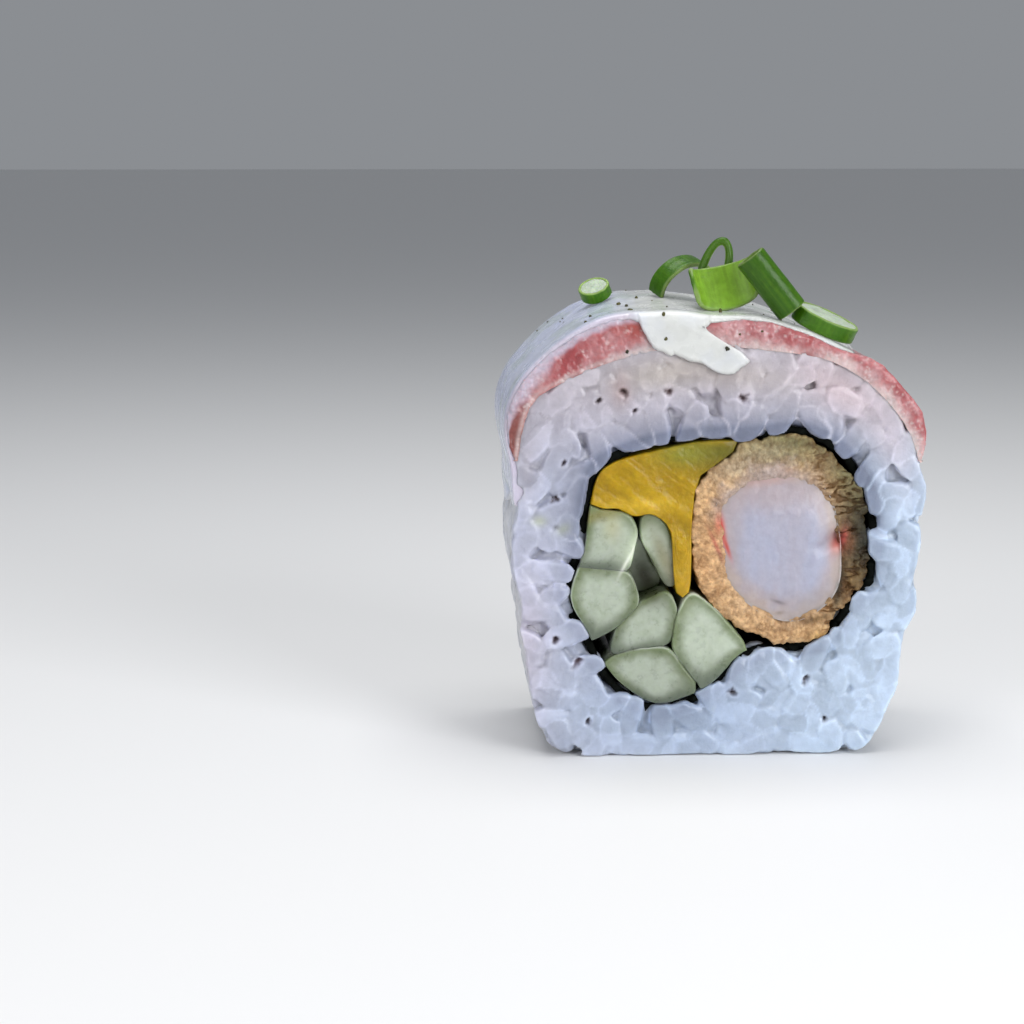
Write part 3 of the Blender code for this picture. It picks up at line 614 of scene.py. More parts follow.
@dataclass
class RiceRing:
    """The ring of rice: whole grains pressed together round a core."""

    outlines: Outlines
    dice: np.random.Generator
    # Each grain's length, width and height against its width
    length: Spot = (5.0, 6.8)
    width: Spot = (2.6, 3.3)
    flat: float = 0.92
    bow: float = 0.12
    # The rows of a cut: their spacing, jitter and height in spacings, and how far they stay off the edges
    spacing: float = 2.45
    jitter: float = 0.3
    row_height: float = 0.87
    clear: Spot = (3.6, 2.4)
    # The row along each edge: how far from the nori or the mat, and its spacing against the others'
    nori_row: Spot = (1.75, 0.98)
    mat_row: Spot = (-1.2, 1.0)
    # How far the grains of those rows stray along the edge, in steps, and across it
    edge_jitter: Spot = (0.38, 0.7)
    # How deep the two layers of a cut lie, and how far its grains stay behind the knife
    layers: Spot = (0.75, 2.1)
    layer_jitter: float = 0.3
    margin: float = 0.15
    side_margin: float = 1.3
    # How far grains lean out of the face they lie in, stand proud of each limit, and tip against it
    lean: float = 0.7
    side_lean: float = 0.3
    proud: float = 0.12
    tip: float = 0.05
    press: float = 0.05
    # The cores: where a cut's starts and ends behind the knife, how far it is off the nori and the mat, and
    # how far the side's walls are off the rice's outline and its ends off the cuts
    core_depth: Spot = (1.3, 3.6)
    core_clear: Spot = (0.6, -1.5)
    side_core: Spot = (-3.4, -1.3)
    side_core_margin: float = 2.2
    voxel: float = 0.22
    side_voxel: float = 0.31
    melt: int = 1
    # How strongly the furrows are darkened, as painted shade.
    furrow: float = 4.0
    finish: Finish = Finish(
        Slot.RICE, 0.36, (1.2, 1.25, 1.4), soft=0.9, mottle=0.16, mottle_size=1.3, relief=0.07,
        relief_size=0.45, coat=0.15, sheen=0.25, gloss=0.4,
    )
    # Painted light: pale is the lit colour low and to the right and dull the less lit one up and to the left;
    # warm is painted light reflected from the tuna on top; deep is painted shade next to the nori; plain is
    # the rice's own colour away from the cuts.
    pale: Colour = (0.46, 0.55, 0.67)
    dull: Colour = (0.44, 0.46, 0.56)
    warm: Colour = (0.46, 0.42, 0.46)
    deep: Colour = (0.13, 0.15, 0.22)
    plain: Colour = (0.52, 0.54, 0.58)
    # Patches: the bluish one low down is a painted shadow; the warm dull ones under the tuna are painted
    # shade; the pink ones by the tuna's right end are painted light reflected from it; the greyer ones on the
    # left are painted shade on the less lit side; the small yellow-green ones are real marks.
    stains_and_painted_light: tuple[StainOrPaintedLight, ...] = (
        StainOrPaintedLight(-3.0, 5.0, 11.0, 5.5, (0.35, 0.43, 0.56), 0.85),
        StainOrPaintedLight(-5.0, 43.6, 6.5, 2.0, (0.40, 0.36, 0.32), 0.8, 8),
        StainOrPaintedLight(3.0, 43.2, 7.0, 1.8, (0.43, 0.38, 0.36), 0.7, -6),
        StainOrPaintedLight(14.5, 41.6, 6.0, 2.6, (0.58, 0.46, 0.48), 0.7, -35),
        StainOrPaintedLight(20.0, 36.0, 2.4, 6.0, (0.56, 0.49, 0.54), 0.6, 20),
        StainOrPaintedLight(-10.2, 41.6, 1.2, 2.0, (0.36, 0.27, 0.26), 0.7),
        StainOrPaintedLight(-20.5, 33.0, 1.4, 4.0, (0.38, 0.33, 0.35), 0.4),
        StainOrPaintedLight(-20.5, 13.0, 2.6, 8.0, (0.52, 0.46, 0.52), 0.55),
        StainOrPaintedLight(-19.1, 27.0, 0.8, 0.6, (0.48, 0.52, 0.34), 0.6),
        StainOrPaintedLight(-16.4, 26.1, 0.9, 0.6, (0.46, 0.50, 0.32), 0.6, 30),
    )
    pit_depth: float = 1.1
    # Small holes between the grains of a cut, as (x, z, half width)
    pits: tuple[tuple[float, float, float], ...] = (
        (-9.8, 41.3, 0.5), (-12.6, 40.4, 0.26), (-4.8, 41.7, 0.36), (-8.4, 39.3, 0.26), (3.7, 40.8, 0.34),
        (-16.5, 33.8, 0.28), (-17.3, 29.5, 0.3), (-14.9, 10.9, 0.4), (-17.2, 13.5, 0.3), (-13.5, 3.9, 0.3),
        (10.9, 8.5, 0.28), (13.1, 4.0, 0.26), (2.7, 7.4, 0.3),
    )

    def grain(self) -> tuple[Array, list[Array]]:
        """One grain, 1 long along X and 1 wide: its half width is (1 - x^2)^0.4, a little wider at one end.

        Returns:
            Its points and faces.
        """
        rings, around = 6, 8
        along = -np.cos(np.linspace(0, math.pi, rings + 2)[1:-1])
        half = 0.5 * (1 - along**2) ** 0.4 * (1 + 0.1 * along)
        turn = full_turn(around)
        shape = np.stack(np.broadcast_arrays(
            0.5 * along[:, None], half[:, None] * np.cos(turn), half[:, None] * np.sin(turn)
        ), axis=-1)
        skin = Skin.capped(shape)
        skin.points[-2:, 0] = (-0.5, 0.5)
        return skin.points, skin.faces

    def face_places(self, spacing: float) -> tuple[Array, Array]:
        """Spots on a cut face: jittered rows of them, and one row along each edge.

        Args:
            spacing: The distance between neighbours.

        Returns:
            The spots, and the direction that each grain there takes, or zeros where any will do.
        """
        reach = np.arange(-30, 31)
        column, row = np.meshgrid(reach, reach)
        shake = self.dice.uniform(-self.jitter, self.jitter, (2, *column.shape))
        x = (column + 0.5 * (row % 2)) * spacing + shake[0] * spacing
        z = row * spacing * self.row_height + shake[1] * spacing + ROLL_CENTRE[1]
        inner = np.stack([x.ravel(), np.zeros(x.size), z.ravel()], axis=1)
        angle, radius = angle_of(inner)
        kept = radius > self.outlines.hole.at(angle) + self.clear[0]
        kept &= radius < self.outlines.mat.at(angle) - self.clear[1]
        rows, ways = [inner[kept]], [np.zeros((kept.sum(), 3))]
        for outline, (step, wide) in ((self.outlines.hole, self.nori_row), (self.outlines.mat, self.mat_row)):
            count = int(outline.radii.mean() * TAU / (spacing * wide))
            along, across = self.edge_jitter
            around = (np.arange(count) + self.dice.uniform(-along, along, count)) / count * TAU
            depth = step + self.dice.uniform(-across, across, count)
            rows.append(polar(ROLL_CENTRE, around, outline.at(around) + depth, 0.0))
            ways.append(from_axis(around, float(step > 0)))
        return np.concatenate(rows), np.concatenate(ways)

    def directions(self, outward: Array, lean: float, wanted: Array) -> Array:
        """Directions that lie across the outward ones, leaning out of that plane by up to lean.

        Args:
            outward: Unit vectors.
            lean: The largest lean, as a tangent.
            wanted: The direction that a grain keeps to roughly, or zeros where any will do.

        Returns:
            Unit vectors.
        """
        loose = self.dice.normal(size=outward.shape)
        fixed = np.linalg.norm(wanted, axis=1, keepdims=True) > 0
        loose = np.where(fixed, wanted + 0.8 * loose, loose)
        flat = loose - (loose * outward).sum(1, keepdims=True) * outward
        flat /= np.linalg.norm(flat, axis=1, keepdims=True)
        lean = np.where(fixed, 0.3 * lean, lean)
        leaning = flat + outward * self.dice.uniform(-1, 1, (len(outward), 1)) * lean
        return leaning / np.linalg.norm(leaning, axis=1, keepdims=True)

    def laid(
        self, places: Array, outward: Array, lean: float, wanted: Array, margin: float
    ) -> tuple[Skin, Array]:
        """Lays a grain at each place, then presses it softly back behind its own cut and mat planes.

        Args:
            places: The grains' middles.
            outward: The direction that each grain's face looks in.
            lean: How far grains lean out of the face.
            wanted: The direction that each grain keeps to, or zeros.
            margin: How far behind the knife cuts they stay.

        Returns:
            The grains, and a row for each: its middle, its direction, half its length, half its width and a
            random tone.
        """
        shape, faces = self.grain()
        count = len(places)
        along = self.directions(outward, lean, wanted)
        side = np.cross(outward, along)
        side /= np.linalg.norm(side, axis=1, keepdims=True)
        up = np.cross(along, side)
        size = np.stack([
            self.dice.uniform(*self.length, count),
            self.dice.uniform(*self.width, count),
            self.dice.uniform(*self.width, count) * self.flat,
        ], axis=1)
        bent = shape * size[:, None]
        bent[..., 1] += self.bow * size[:, None, 1] * ((2 * shape[:, 0]) ** 2 - 0.4)
        axes = np.stack([along, side, up], axis=1)
        points = np.einsum("gpk,gkj->gpj", bent, axes) + places[:, None]
        lines = np.column_stack([places, along, size[:, :2] / 2, self.dice.uniform(0, 1, count)])
        return Skin.copies(self.pressed(points, margin), faces), lines

    def pressed(self, points: Array, margin: float) -> Array:
        """Keeps every grain behind the knife cuts, inside the mat's outline and off the nori.

        Each limit is soft, and sits a little deeper or prouder for each grain.

        Args:
            points: Points as (grains, points, 3).
            margin: How far behind the cuts the grains stay.

        Returns:
            The points, moved.
        """
        count = len(points)
        middle = points.mean(1)
        proud = self.dice.uniform(-self.proud, self.proud, (3, count, 1))
        tip = self.dice.uniform(-self.tip, self.tip, (2, count, 1))
        tilt = ((points - middle[:, None])[..., (0, 2)] * tip.transpose(1, 2, 0)).sum(-1)
        on_side = margin > 1
        reach = proud[0] * (4.0 if on_side else 1.0)
        near, far = FRONT + margin + reach, BACK - margin - reach
        y = points[..., 1]
        y = near + softly_over(y - near - tilt, self.press) + tilt
        y = far - softly_over(far - y + tilt, self.press) + tilt
        angle, radius = angle_of(points)
        behind = 0 if on_side else 0.6 * eased(np.minimum(y - FRONT, BACK - y), 1.0, 2.4)
        mat = self.outlines.mat.at(angle) - 0.1 + proud[1] * (1.6 if on_side else 1.0) - behind
        radius = mat - softly_over(mat - radius, self.press)
        sheet = self.outlines.hole.at(angle) - 0.6 + 2.6 * proud[2]
        radius = sheet + softly_over(radius - sheet, self.press)
        moved = polar(ROLL_CENTRE, angle, radius, y)
        moved[..., 2] = softly_over(moved[..., 2], 0.05)
        return moved

    def nearest_grains(self, points: Array, lines: Array) -> tuple[Array, Array]:
        """Finds the grain that each point belongs to, by the distance to the line along each grain.

        Args:
            points: Places in mm.
            lines: The rows that laid() gives.

        Returns:
            The nearest grain's tone, and how much further away the next grain is.
        """
        tones, margins = [], []
        middle, way, half, thick = lines[:, :3], lines[:, 3:6], lines[:, 6], lines[:, 7]
        for block in np.array_split(points, len(points) // 2000 + 1):
            away = block[:, None] - middle
            along = np.clip((away * way).sum(-1), thick - half, half - thick)
            distance = np.linalg.norm(away - along[..., None] * way, axis=-1) - thick
            two = np.partition(distance, 1, axis=1)
            tones.append(lines[distance.argmin(1), 8])
            margins.append(two[:, 1] - two[:, 0])
        return np.concatenate(tones), np.concatenate(margins)

    def coloured(self, skin: Skin, lines: Array) -> None:
        """Painted light and shade: paler low and to the right, warmer on top, painted shade next to the nori
        and in the furrows, and painted highlights on thin grain edges and on the grains' rims by the nori.

        Args:
            skin: The fused rice.
            lines: The rows that laid() gives.
        """
        points = skin.points
        angle, radius = angle_of(points)
        # Painted light: paler to the right and low down, duller up and to the left; the lumps add a random
        # tone.
        light = 0.5 + 0.032 * points[:, 0] - 0.008 * (points[:, 2] - 22) + 0.3 * lumps(points, 7.0, 11)
        tint = blend(self.dull, self.pale, light)
        # Painted reflected light: warmer towards the top, below the tuna.
        tint = tinged(tint, self.warm, 0.85 * eased(points[:, 2], 30, 42))
        tint = with_stains_and_painted_light(points, tint, self.stains_and_painted_light)
        tint = tinged(tint, self.plain, 0.7 * eased(points[:, 1], FRONT + 0.8, FRONT + 3.0))
        tone, margin = self.nearest_grains(points, lines)
        # Painted highlight: thin bright lines along the edges between grains.
        edge = np.exp(-((margin / 0.2) ** 2)) * (0.6 + 0.8 * lumps(points, 2.0, 13))
        # Painted shade next to the nori, stronger towards the top and weaker on the grain edges.
        near = np.exp(-np.maximum(radius - self.outlines.hole.at(angle) - 0.8, 0) / 1.5)
        near *= (0.45 + 0.45 * eased(points[:, 2], 18, 34)) * (1 - 0.6 * np.clip(1.3 * edge, 0, 1))
        tint = tinged(tint, self.deep, near)
        depth = np.minimum(points[:, 1] - FRONT, BACK - points[:, 1])
        # Painted highlight: brighter on the rounded rims of the grains by the nori, just behind the cut.
        lip = np.exp(-(((depth - 0.55) / 0.25) ** 2)) * (radius < self.outlines.hole.at(angle) + 1.6)
        # Painted shade: darker in the furrows between grains, a little lighter on ridges.
        furrows = np.clip(skin.hollowness(2) * self.furrow, -0.1, 0.55)
        shade = 0.87 + 0.24 * tone + 0.14 * edge + 0.5 * lip - furrows
        skin.tint = np.clip(tint * shade[:, None], 0, 0.95)

    def pitted(self, skin: Skin, facing: float) -> Array:
        """Sinks the small holes into a cut: each point goes back by the depth times e^-(r/w)^2.

        Args:
            skin: The fused rice of a cut.
            facing: -1 for the front, 1 for the back.

        Returns:
            How much of a hole each point is in, from 0 to 1.
        """
        x, y, z = skin.points.T
        x = x + 0.7 * lumps(skin.points, 1.0, 15)
        z = z + 0.7 * lumps(skin.points, 1.0, 16)
        cut = FRONT if facing < 0 else BACK
        outer = 1 - eased(np.abs(y - cut), 1.4, 2.2)
        sunk = np.zeros(len(x))
        for middle, height, half in self.pits:
            sunk = np.maximum(sunk, outer * np.exp(-((np.hypot(x - middle, z - height) / half) ** 2)))
        skin.points[:, 1] -= facing * self.pit_depth * sunk
        return sunk

    def faces_grains(self, facing: float) -> None:
        """One cut face: a layer of grains in the cut, and one behind it that shows in the gaps.

        Args:
            facing: -1 for the front, 1 for the back.
        """
        cut = FRONT if facing < 0 else BACK
        layers, ways = [], []
        for depth, spacing in zip(self.layers, (self.spacing, self.spacing * 1.2)):
            spots, wanted = self.face_places(spacing)
            shake = self.dice.uniform(-self.layer_jitter, self.layer_jitter, len(spots))
            spots[:, 1] = cut - facing * (depth + shake)
            layers.append(spots)
            ways.append(wanted)
        places = np.concatenate(layers)
        outward = np.tile([0.0, facing, 0.0], (len(places), 1))
        grains, lines = self.laid(places, outward, self.lean, np.concatenate(ways), self.margin)
        near, far = (cut - facing * depth for depth in self.core_depth)
        low, high = self.core_clear
        core = self.core(self.outlines.hole, low, self.outlines.mat, high, near, far)
        skin = Skin.joined([grains, core]).fused(self.voxel, self.melt)
        sunk = self.pitted(skin, facing)
        self.coloured(skin, lines)
        # Painted shade in the pits, a little redder.
        skin.tint *= 1 - 0.85 * sunk[:, None] * np.array([0.8, 1.0, 1.0])
        skin.piece("rice_front" if facing < 0 else "rice_back", self.finish, "rice")

    def side_grains(self) -> None:
        """The grains round the outside: they lie flat against the mat's outline where no tuna covers them."""
        steps = int(self.outlines.rice.radii.mean() * TAU * 1.05 / self.spacing)
        rows = int((BACK - FRONT - 2) / (self.row_height * self.spacing))
        around, row = np.meshgrid(np.arange(steps), np.arange(rows))
        shake = self.dice.uniform(-self.jitter, self.jitter, (2, *around.shape))
        angle = ((around + 0.5 * (row % 2) + shake[0]) / steps * TAU).ravel() % TAU
        y = (FRONT + 1.2 + (row + 0.5 + shake[1]) * (BACK - FRONT - 2.4) / rows).ravel()
        start, end = self.outlines.tuna_ends
        open_air = (angle < start + 0.12) | (angle > end - 0.12)
        angle, y = angle[open_air], y[open_air]
        places = polar(ROLL_CENTRE, angle, self.outlines.rice.at(angle) - 1.25, y)
        free = np.zeros_like(places)
        grains, lines = self.laid(places, from_axis(angle, 1.0), self.side_lean, free, self.side_margin)
        near, far = FRONT + self.side_core_margin, BACK - self.side_core_margin
        low, high = self.side_core
        core = self.core(self.outlines.rice, low, self.outlines.rice, high, near, far)
        skin = Skin.joined([grains, core]).fused(self.side_voxel, self.melt)
        self.coloured(skin, lines)
        skin.piece("rice_side", self.finish, "rice")

    def core(
        self, inside: Round, deep: float, outside: Round, shallow: float, near: float, far: float
    ) -> Skin:
        """What the grains lie on: a closed ring with a square section.

        Args:
            inside: The outline that its inner wall follows.
            deep: How far outside that the wall is.
            outside: The outline that its outer wall follows.
            shallow: How far outside that the wall is.
            near: Where it starts along the roll.
            far: Where it ends.

        Returns:
            The ring.
        """
        angles = full_turn(360)
        low, high = inside.at(angles) + deep, outside.at(angles) + shallow
        corners = ((low, near), (high, near), (high, far), (low, far))
        return Skin.ring(np.stack([polar(ROLL_CENTRE, angles, radius, y) for radius, y in corners]))

    def build(self) -> None:
        """Makes the rice of both cuts and of the outside."""
        self.faces_grains(-1.0)
        self.faces_grains(1.0)
        self.side_grains()


@dataclass
class NoriSheet:
    """The sheet of seaweed round the fillings: a thin ragged tube that swells into the gaps beside them."""

    outlines: Outlines
    columns: int = 720
    rows: int = 26
    finish: Finish = Finish(
        Slot.NORI, 0.7, (0.2, 0.3, 0.2), soft=0.0, mottle=0.5, mottle_size=0.8, relief=0.1, relief_size=0.3,
        gloss=0.05,
    )
    black: Colour = (0.003, 0.004, 0.003)

    def build(self) -> None:
        """Carries a thin section round the outline: out along the lining, over the torn edge and back."""
        angles = full_turn(self.columns)
        ways = polar(ROLL_CENTRE, angles, 17.0, 0.0)
        outer = self.outlines.hole.at(angles) + 0.4 + 0.3 * lumps(ways, 1.5, 31)
        inner = self.outlines.lining.at(angles) + 0.05 + 0.25 * lumps(ways, 1.2, 32)
        front = FRONT + 1.1 + 0.9 * lumps(ways, 0.9, 33)
        back = BACK - 0.75 - 0.6 * lumps(ways, 1.4, 34)
        level = np.linspace(0, 1, self.rows)
        share = np.concatenate([level, level[::-1]])[:, None]
        radius = np.repeat([inner, outer], self.rows, axis=0)
        grid = polar(ROLL_CENTRE, angles, radius, front + (back - front) * share)
        grid += from_axis(angles, 0.12 * lumps(grid, 2.0, 35))
        skin = Skin.ring(grid)
        skin.tint = np.array(self.black) * (1 + 0.5 * lumps(skin.points, 1.0, 36))[:, None]
        skin.piece("nori_sheet", self.finish, "nori")


@dataclass
class Filling:
    """A filling that runs through the roll: a prism with rounded rims and a cut face at each end.

    The cut faces stand out by relief(), and tinted() gives the colours.
    """

    node: str
    finish: Finish
    outlines: Outlines
    centre: Spot | None = None
    grow: float = 0.1
    rim: float = 0.4
    blur: float = 3.0
    columns: int = 260
    cap_rows: int = 28
    rim_rows: int = 6
    side_rows: int = 26
    wave: float = 0.12
    seed: int = 50

    def relief(self, points: Array) -> Array:
        """How far the cut face stands out at each point, in mm."""
        return 0.1 * lumps(points, 3.0, self.seed) + 0.03 * lumps(points, 0.6, self.seed + 3)

    def tinted(self, points: Array, rim: Array) -> Array:
        """The colours of the points. rim runs from 0 in the middle of a cut to 1 at its edge and beyond."""
        raise NotImplementedError

    def build(self) -> None:
        """Runs a path from the middle of the front cut, out over its rim, along the side and back in."""
        solid = Solid(self.node)
        middle = self.centre or tuple(((solid.low + solid.high) / 2)[[0, 2]])
        front, back = solid.low[1], solid.high[1]
        angles = full_turn(self.columns)
        across = smoothed(solid.radii(middle, (front + back) / 2, angles), self.blur)
        cap = np.linspace(0.02, 1, self.cap_rows)
        bend = np.linspace(0, math.pi / 2, self.rim_rows)[1:]
        side = np.linspace(0, 1, self.side_rows)[1:-1]
        share = np.concatenate([cap, np.ones(len(bend) * 2 + len(side)), cap[::-1]])
        whole, none = np.ones_like(cap), np.zeros_like(side)
        inward = np.concatenate([whole, 1 - np.sin(bend), none, 1 - np.sin(bend[::-1]), whole])
        facing = np.concatenate([-whole, -np.cos(bend), none, np.cos(bend[::-1]), whole])
        y = np.concatenate([
            np.full(len(cap), front), front + self.rim * (1 - np.cos(bend)),
            front + self.rim + (back - front - 2 * self.rim) * side,
            back - self.rim * (1 - np.cos(bend[::-1])), np.full(len(cap), back),
        ])
        edge = polar(middle, angles, across, 0.0)
        ahead = np.roll(edge, -2, axis=0) - np.roll(edge, 2, axis=0)
        normal = np.stack([ahead[:, 2], ahead[:, 1], -ahead[:, 0]], axis=1)
        edge = edge + self.grow * normal / np.linalg.norm(normal, axis=1, keepdims=True)
        edge = self.outlines.filled_out(edge)
        across = np.hypot(edge[:, 0] - middle[0], edge[:, 2] - middle[1])
        angles = np.arctan2(edge[:, 2] - middle[1], edge[:, 0] - middle[0])
        radius = (across[None] - self.rim * inward[:, None]) * share[:, None]
        grid = polar(middle, angles, radius, y[:, None])
        grid[..., 1] += facing[:, None] * self.relief(grid)
        lean = 1 - np.abs(facing[:, None])
        grid += from_axis(angles, lean * self.wave * lumps(grid, 2.0, self.seed + 9))
        skin = Skin.capped(grid)
        out = np.append(np.clip(radius / across, 0, 1).ravel(), (0.0, 0.0))
        skin.tint = np.clip(self.tinted(skin.points, out), 0, 0.95)
        skin.piece(self.node + "_cut", self.finish, self.node)


@dataclass
class Cucumber(Filling):
    """A stick of cucumber: wet flesh, pale in the middle, greener towards the edge, with painted shadow low
    down and a painted highlight along parts of its rim.
    """

    flesh: Colour = (0.41, 0.46, 0.375)
    edge: Colour = (0.16, 0.20, 0.105)
    # The painted shadow colour for the low part of each stick.
    foot_shadow: Colour = (0.10, 0.12, 0.10)
    shade: float = 1.0
    # Patches: the near-black one and the dark olive one are painted shade in the hollow between the short,
    # thin and middle sticks; the pale patch and the thin pale line are painted light on the top and left rim
    # of the short stick, which sits further back.
    stains_and_painted_light: tuple[StainOrPaintedLight, ...] = (
        StainOrPaintedLight(-6.9, 20.0, 2.7, 1.5, (0.040, 0.042, 0.008), 1.0, 115),
        StainOrPaintedLight(-12.6, 27.6, 3.4, 0.7, (0.24, 0.22, 0.07), 0.8, 15),
        StainOrPaintedLight(-5.0, 22.5, 4.0, 0.9, (0.26, 0.24, 0.12), 0.7, 115),
        StainOrPaintedLight(-8.3, 23.8, 2.2, 1.3, (0.66, 0.74, 0.58), 0.9, 62),
        StainOrPaintedLight(-9.2, 22.6, 2.0, 0.2, (0.75, 0.78, 0.68), 0.9, 62),
        StainOrPaintedLight(-11.0, 26.4, 1.0, 1.6, (0.46, 0.43, 0.22), 0.5),
    )

    def tinted(self, points: Array, rim: Array) -> Array:
        """Flesh that turns greener over the outer third, cloudy, with a painted highlight along parts of the
        rim and a painted soft shadow low down.
        """
        cloud = 0.9 * lumps(points, 1.8, self.seed + 1)
        grain = 0.16 * lumps(points, 0.45, self.seed + 2)
        tint = blend(self.flesh, self.edge, eased(rim, 0.5, 0.97) + 0.4 * cloud + grain)
        # Painted highlight: a thin paler line along parts of the rim.
        line = 0.8 * eased(rim, 0.95, 0.99) * eased(lumps(points, 3.0, self.seed + 3), -0.1, 0.25)
        tint = tinged(tint, np.array(self.flesh) * 1.25, line)
        # Painted shadow: darker towards the bottom of each stick, nearer the rim.
        low, high = points[:, 2].min(), points[:, 2].max()
        down = (high - points[:, 2]) / (high - low) + 0.1 * cloud
        tint = tinged(tint, self.foot_shadow, 0.85 * eased(down, 0.45, 1.0) * eased(rim, 0.3, 0.95))
        return with_stains_and_painted_light(points, tint, self.stains_and_painted_light) * self.shade


@dataclass
class Mango(Filling):
    """Ripe mango: golden flesh with fibres that run down to the right, greenish near the nori."""

    gold: Colour = (0.49, 0.315, 0.004)
    deep: Colour = (0.27, 0.155, 0.004)
    fibre_slant: float = -38.0
    stains_and_painted_light: tuple[StainOrPaintedLight, ...] = (
        StainOrPaintedLight(1.6, 34.6, 5.5, 1.8, (0.10, 0.095, 0.008), 0.95, 5),
        StainOrPaintedLight(-3.0, 34.6, 3.4, 1.5, (0.24, 0.24, 0.025), 0.85),
        StainOrPaintedLight(-0.2, 31.0, 1.5, 3.0, (0.20, 0.15, 0.010), 0.7),
        StainOrPaintedLight(-7.6, 28.8, 4.5, 0.8, (0.68, 0.45, 0.03), 0.7),
        StainOrPaintedLight(-2.4, 21.0, 0.9, 3.5, (0.62, 0.38, 0.03), 0.5),
    )

    def fibres(self, points: Array) -> Array:
        """Long lumps: noise on coordinates squeezed along the fibres."""
        slant = math.radians(self.fibre_slant)
        x, z = points[..., 0], points[..., 2]
        along = x * math.cos(slant) + z * math.sin(slant)
        across = z * math.cos(slant) - x * math.sin(slant)
        return lumps(np.stack([along * 0.16, points[..., 1] * 0.3, across], axis=-1), 1.0, self.seed + 2)

    def relief(self, points: Array) -> Array:
        """Broad swells, ridges along the fibres and a fine grain."""
        swells = 0.25 * lumps(points, 4.0, self.seed) + 0.3 * self.fibres(points)
        return swells + 0.07 * lumps(points, 0.6, self.seed + 3)

    def tinted(self, points: Array, rim: Array) -> Array:
        """Deep in the furrows, gold on the ridges, with the listed patches over them."""
        share = 0.62 + 0.55 * self.fibres(points) + 0.25 * lumps(points, 3.5, self.seed + 4)
        tint = blend(self.deep, self.gold, share)
        return with_stains_and_painted_light(points, tint, self.stains_and_painted_light)


@dataclass
class Prawn(Filling):
    """The prawn's meat: lilac white, domed, with faint fibres, a cleft on the right and red marks."""

    dome: float = 0.25
    meat: Colour = (0.375, 0.385, 0.48)
    warm: Colour = (0.41, 0.365, 0.395)
    fried: Colour = (0.46, 0.36, 0.28)
    stains_and_painted_light: tuple[StainOrPaintedLight, ...] = (
        StainOrPaintedLight(7.0, 29.6, 6.0, 1.7, (0.40, 0.335, 0.35), 0.8, 4),
        StainOrPaintedLight(1.3, 25.9, 1.7, 0.36, (0.66, 0.055, 0.035), 1.0, 97),
        StainOrPaintedLight(1.9, 23.9, 1.3, 0.22, (0.55, 0.06, 0.035), 0.9, 108),
        StainOrPaintedLight(14.4, 24.4, 1.3, 0.8, (0.52, 0.08, 0.05), 0.8, 75),
        StainOrPaintedLight(6.0, 31.8, 4.5, 0.9, (0.50, 0.30, 0.27), 0.7, 8),
        StainOrPaintedLight(2.4, 18.4, 2.6, 0.8, (0.42, 0.31, 0.24), 0.6, 120),
        StainOrPaintedLight(7.8, 17.6, 0.9, 0.22, (0.14, 0.12, 0.13), 0.7, -20),
        StainOrPaintedLight(8.0, 16.3, 0.5, 0.2, (0.20, 0.16, 0.12), 0.6),
        # A painted shade patch beside the cleft.
        StainOrPaintedLight(13.0, 24.6, 1.5, 0.5, (0.30, 0.25, 0.29), 0.4, 25),
        StainOrPaintedLight(11.5, 17.6, 3.0, 1.0, (0.33, 0.31, 0.33), 0.6, 35),
    )
    cleft: Spot = (12.6, 24.3)

    def relief(self, points: Array) -> Array:
        """A low dome, bundles of upright fibres, and a cleft that runs in from the right."""
        x, z = points[..., 0], points[..., 2]
        out = (np.abs((x - 7.9) / 7.6) ** 3 + np.abs((z - 23.6) / 7.6) ** 3) ** (1 / 3)
        fibre = lumps(points * np.array([1.0, 0.3, 0.28]), 0.9, self.seed + 2)
        inward = eased(x, self.cleft[0] - 2.0, self.cleft[0] + 1.5)
        groove = 1.7 * inward * np.exp(-((z - self.cleft[1] - 0.4 * (x - self.cleft[0])) / 0.9) ** 2)
        dome = self.dome - eased(out, 0.5, 1.0)
        return dome + 0.07 * fibre - 0.5 * groove + 0.05 * lumps(points, 0.7, self.seed + 5)

    def tinted(self, points: Array, rim: Array) -> Array:
        """Lilac white with warmer cloudy streaks and rim, and the red marks."""
        streak = lumps(points * np.array([1.0, 0.4, 0.35]), 1.6, self.seed + 6)
        tint = blend(self.meat, self.warm, 0.2 + 0.5 * streak + 0.9 * eased(rim + 0.06 * streak, 0.6, 0.85))
        fried = 0.5 * eased(rim + 0.12 * lumps(points, 1.2, self.seed + 7), 0.76, 0.95)
        tint = tinged(tint, self.fried, fried)
        return with_stains_and_painted_light(points, tint, self.stains_and_painted_light)


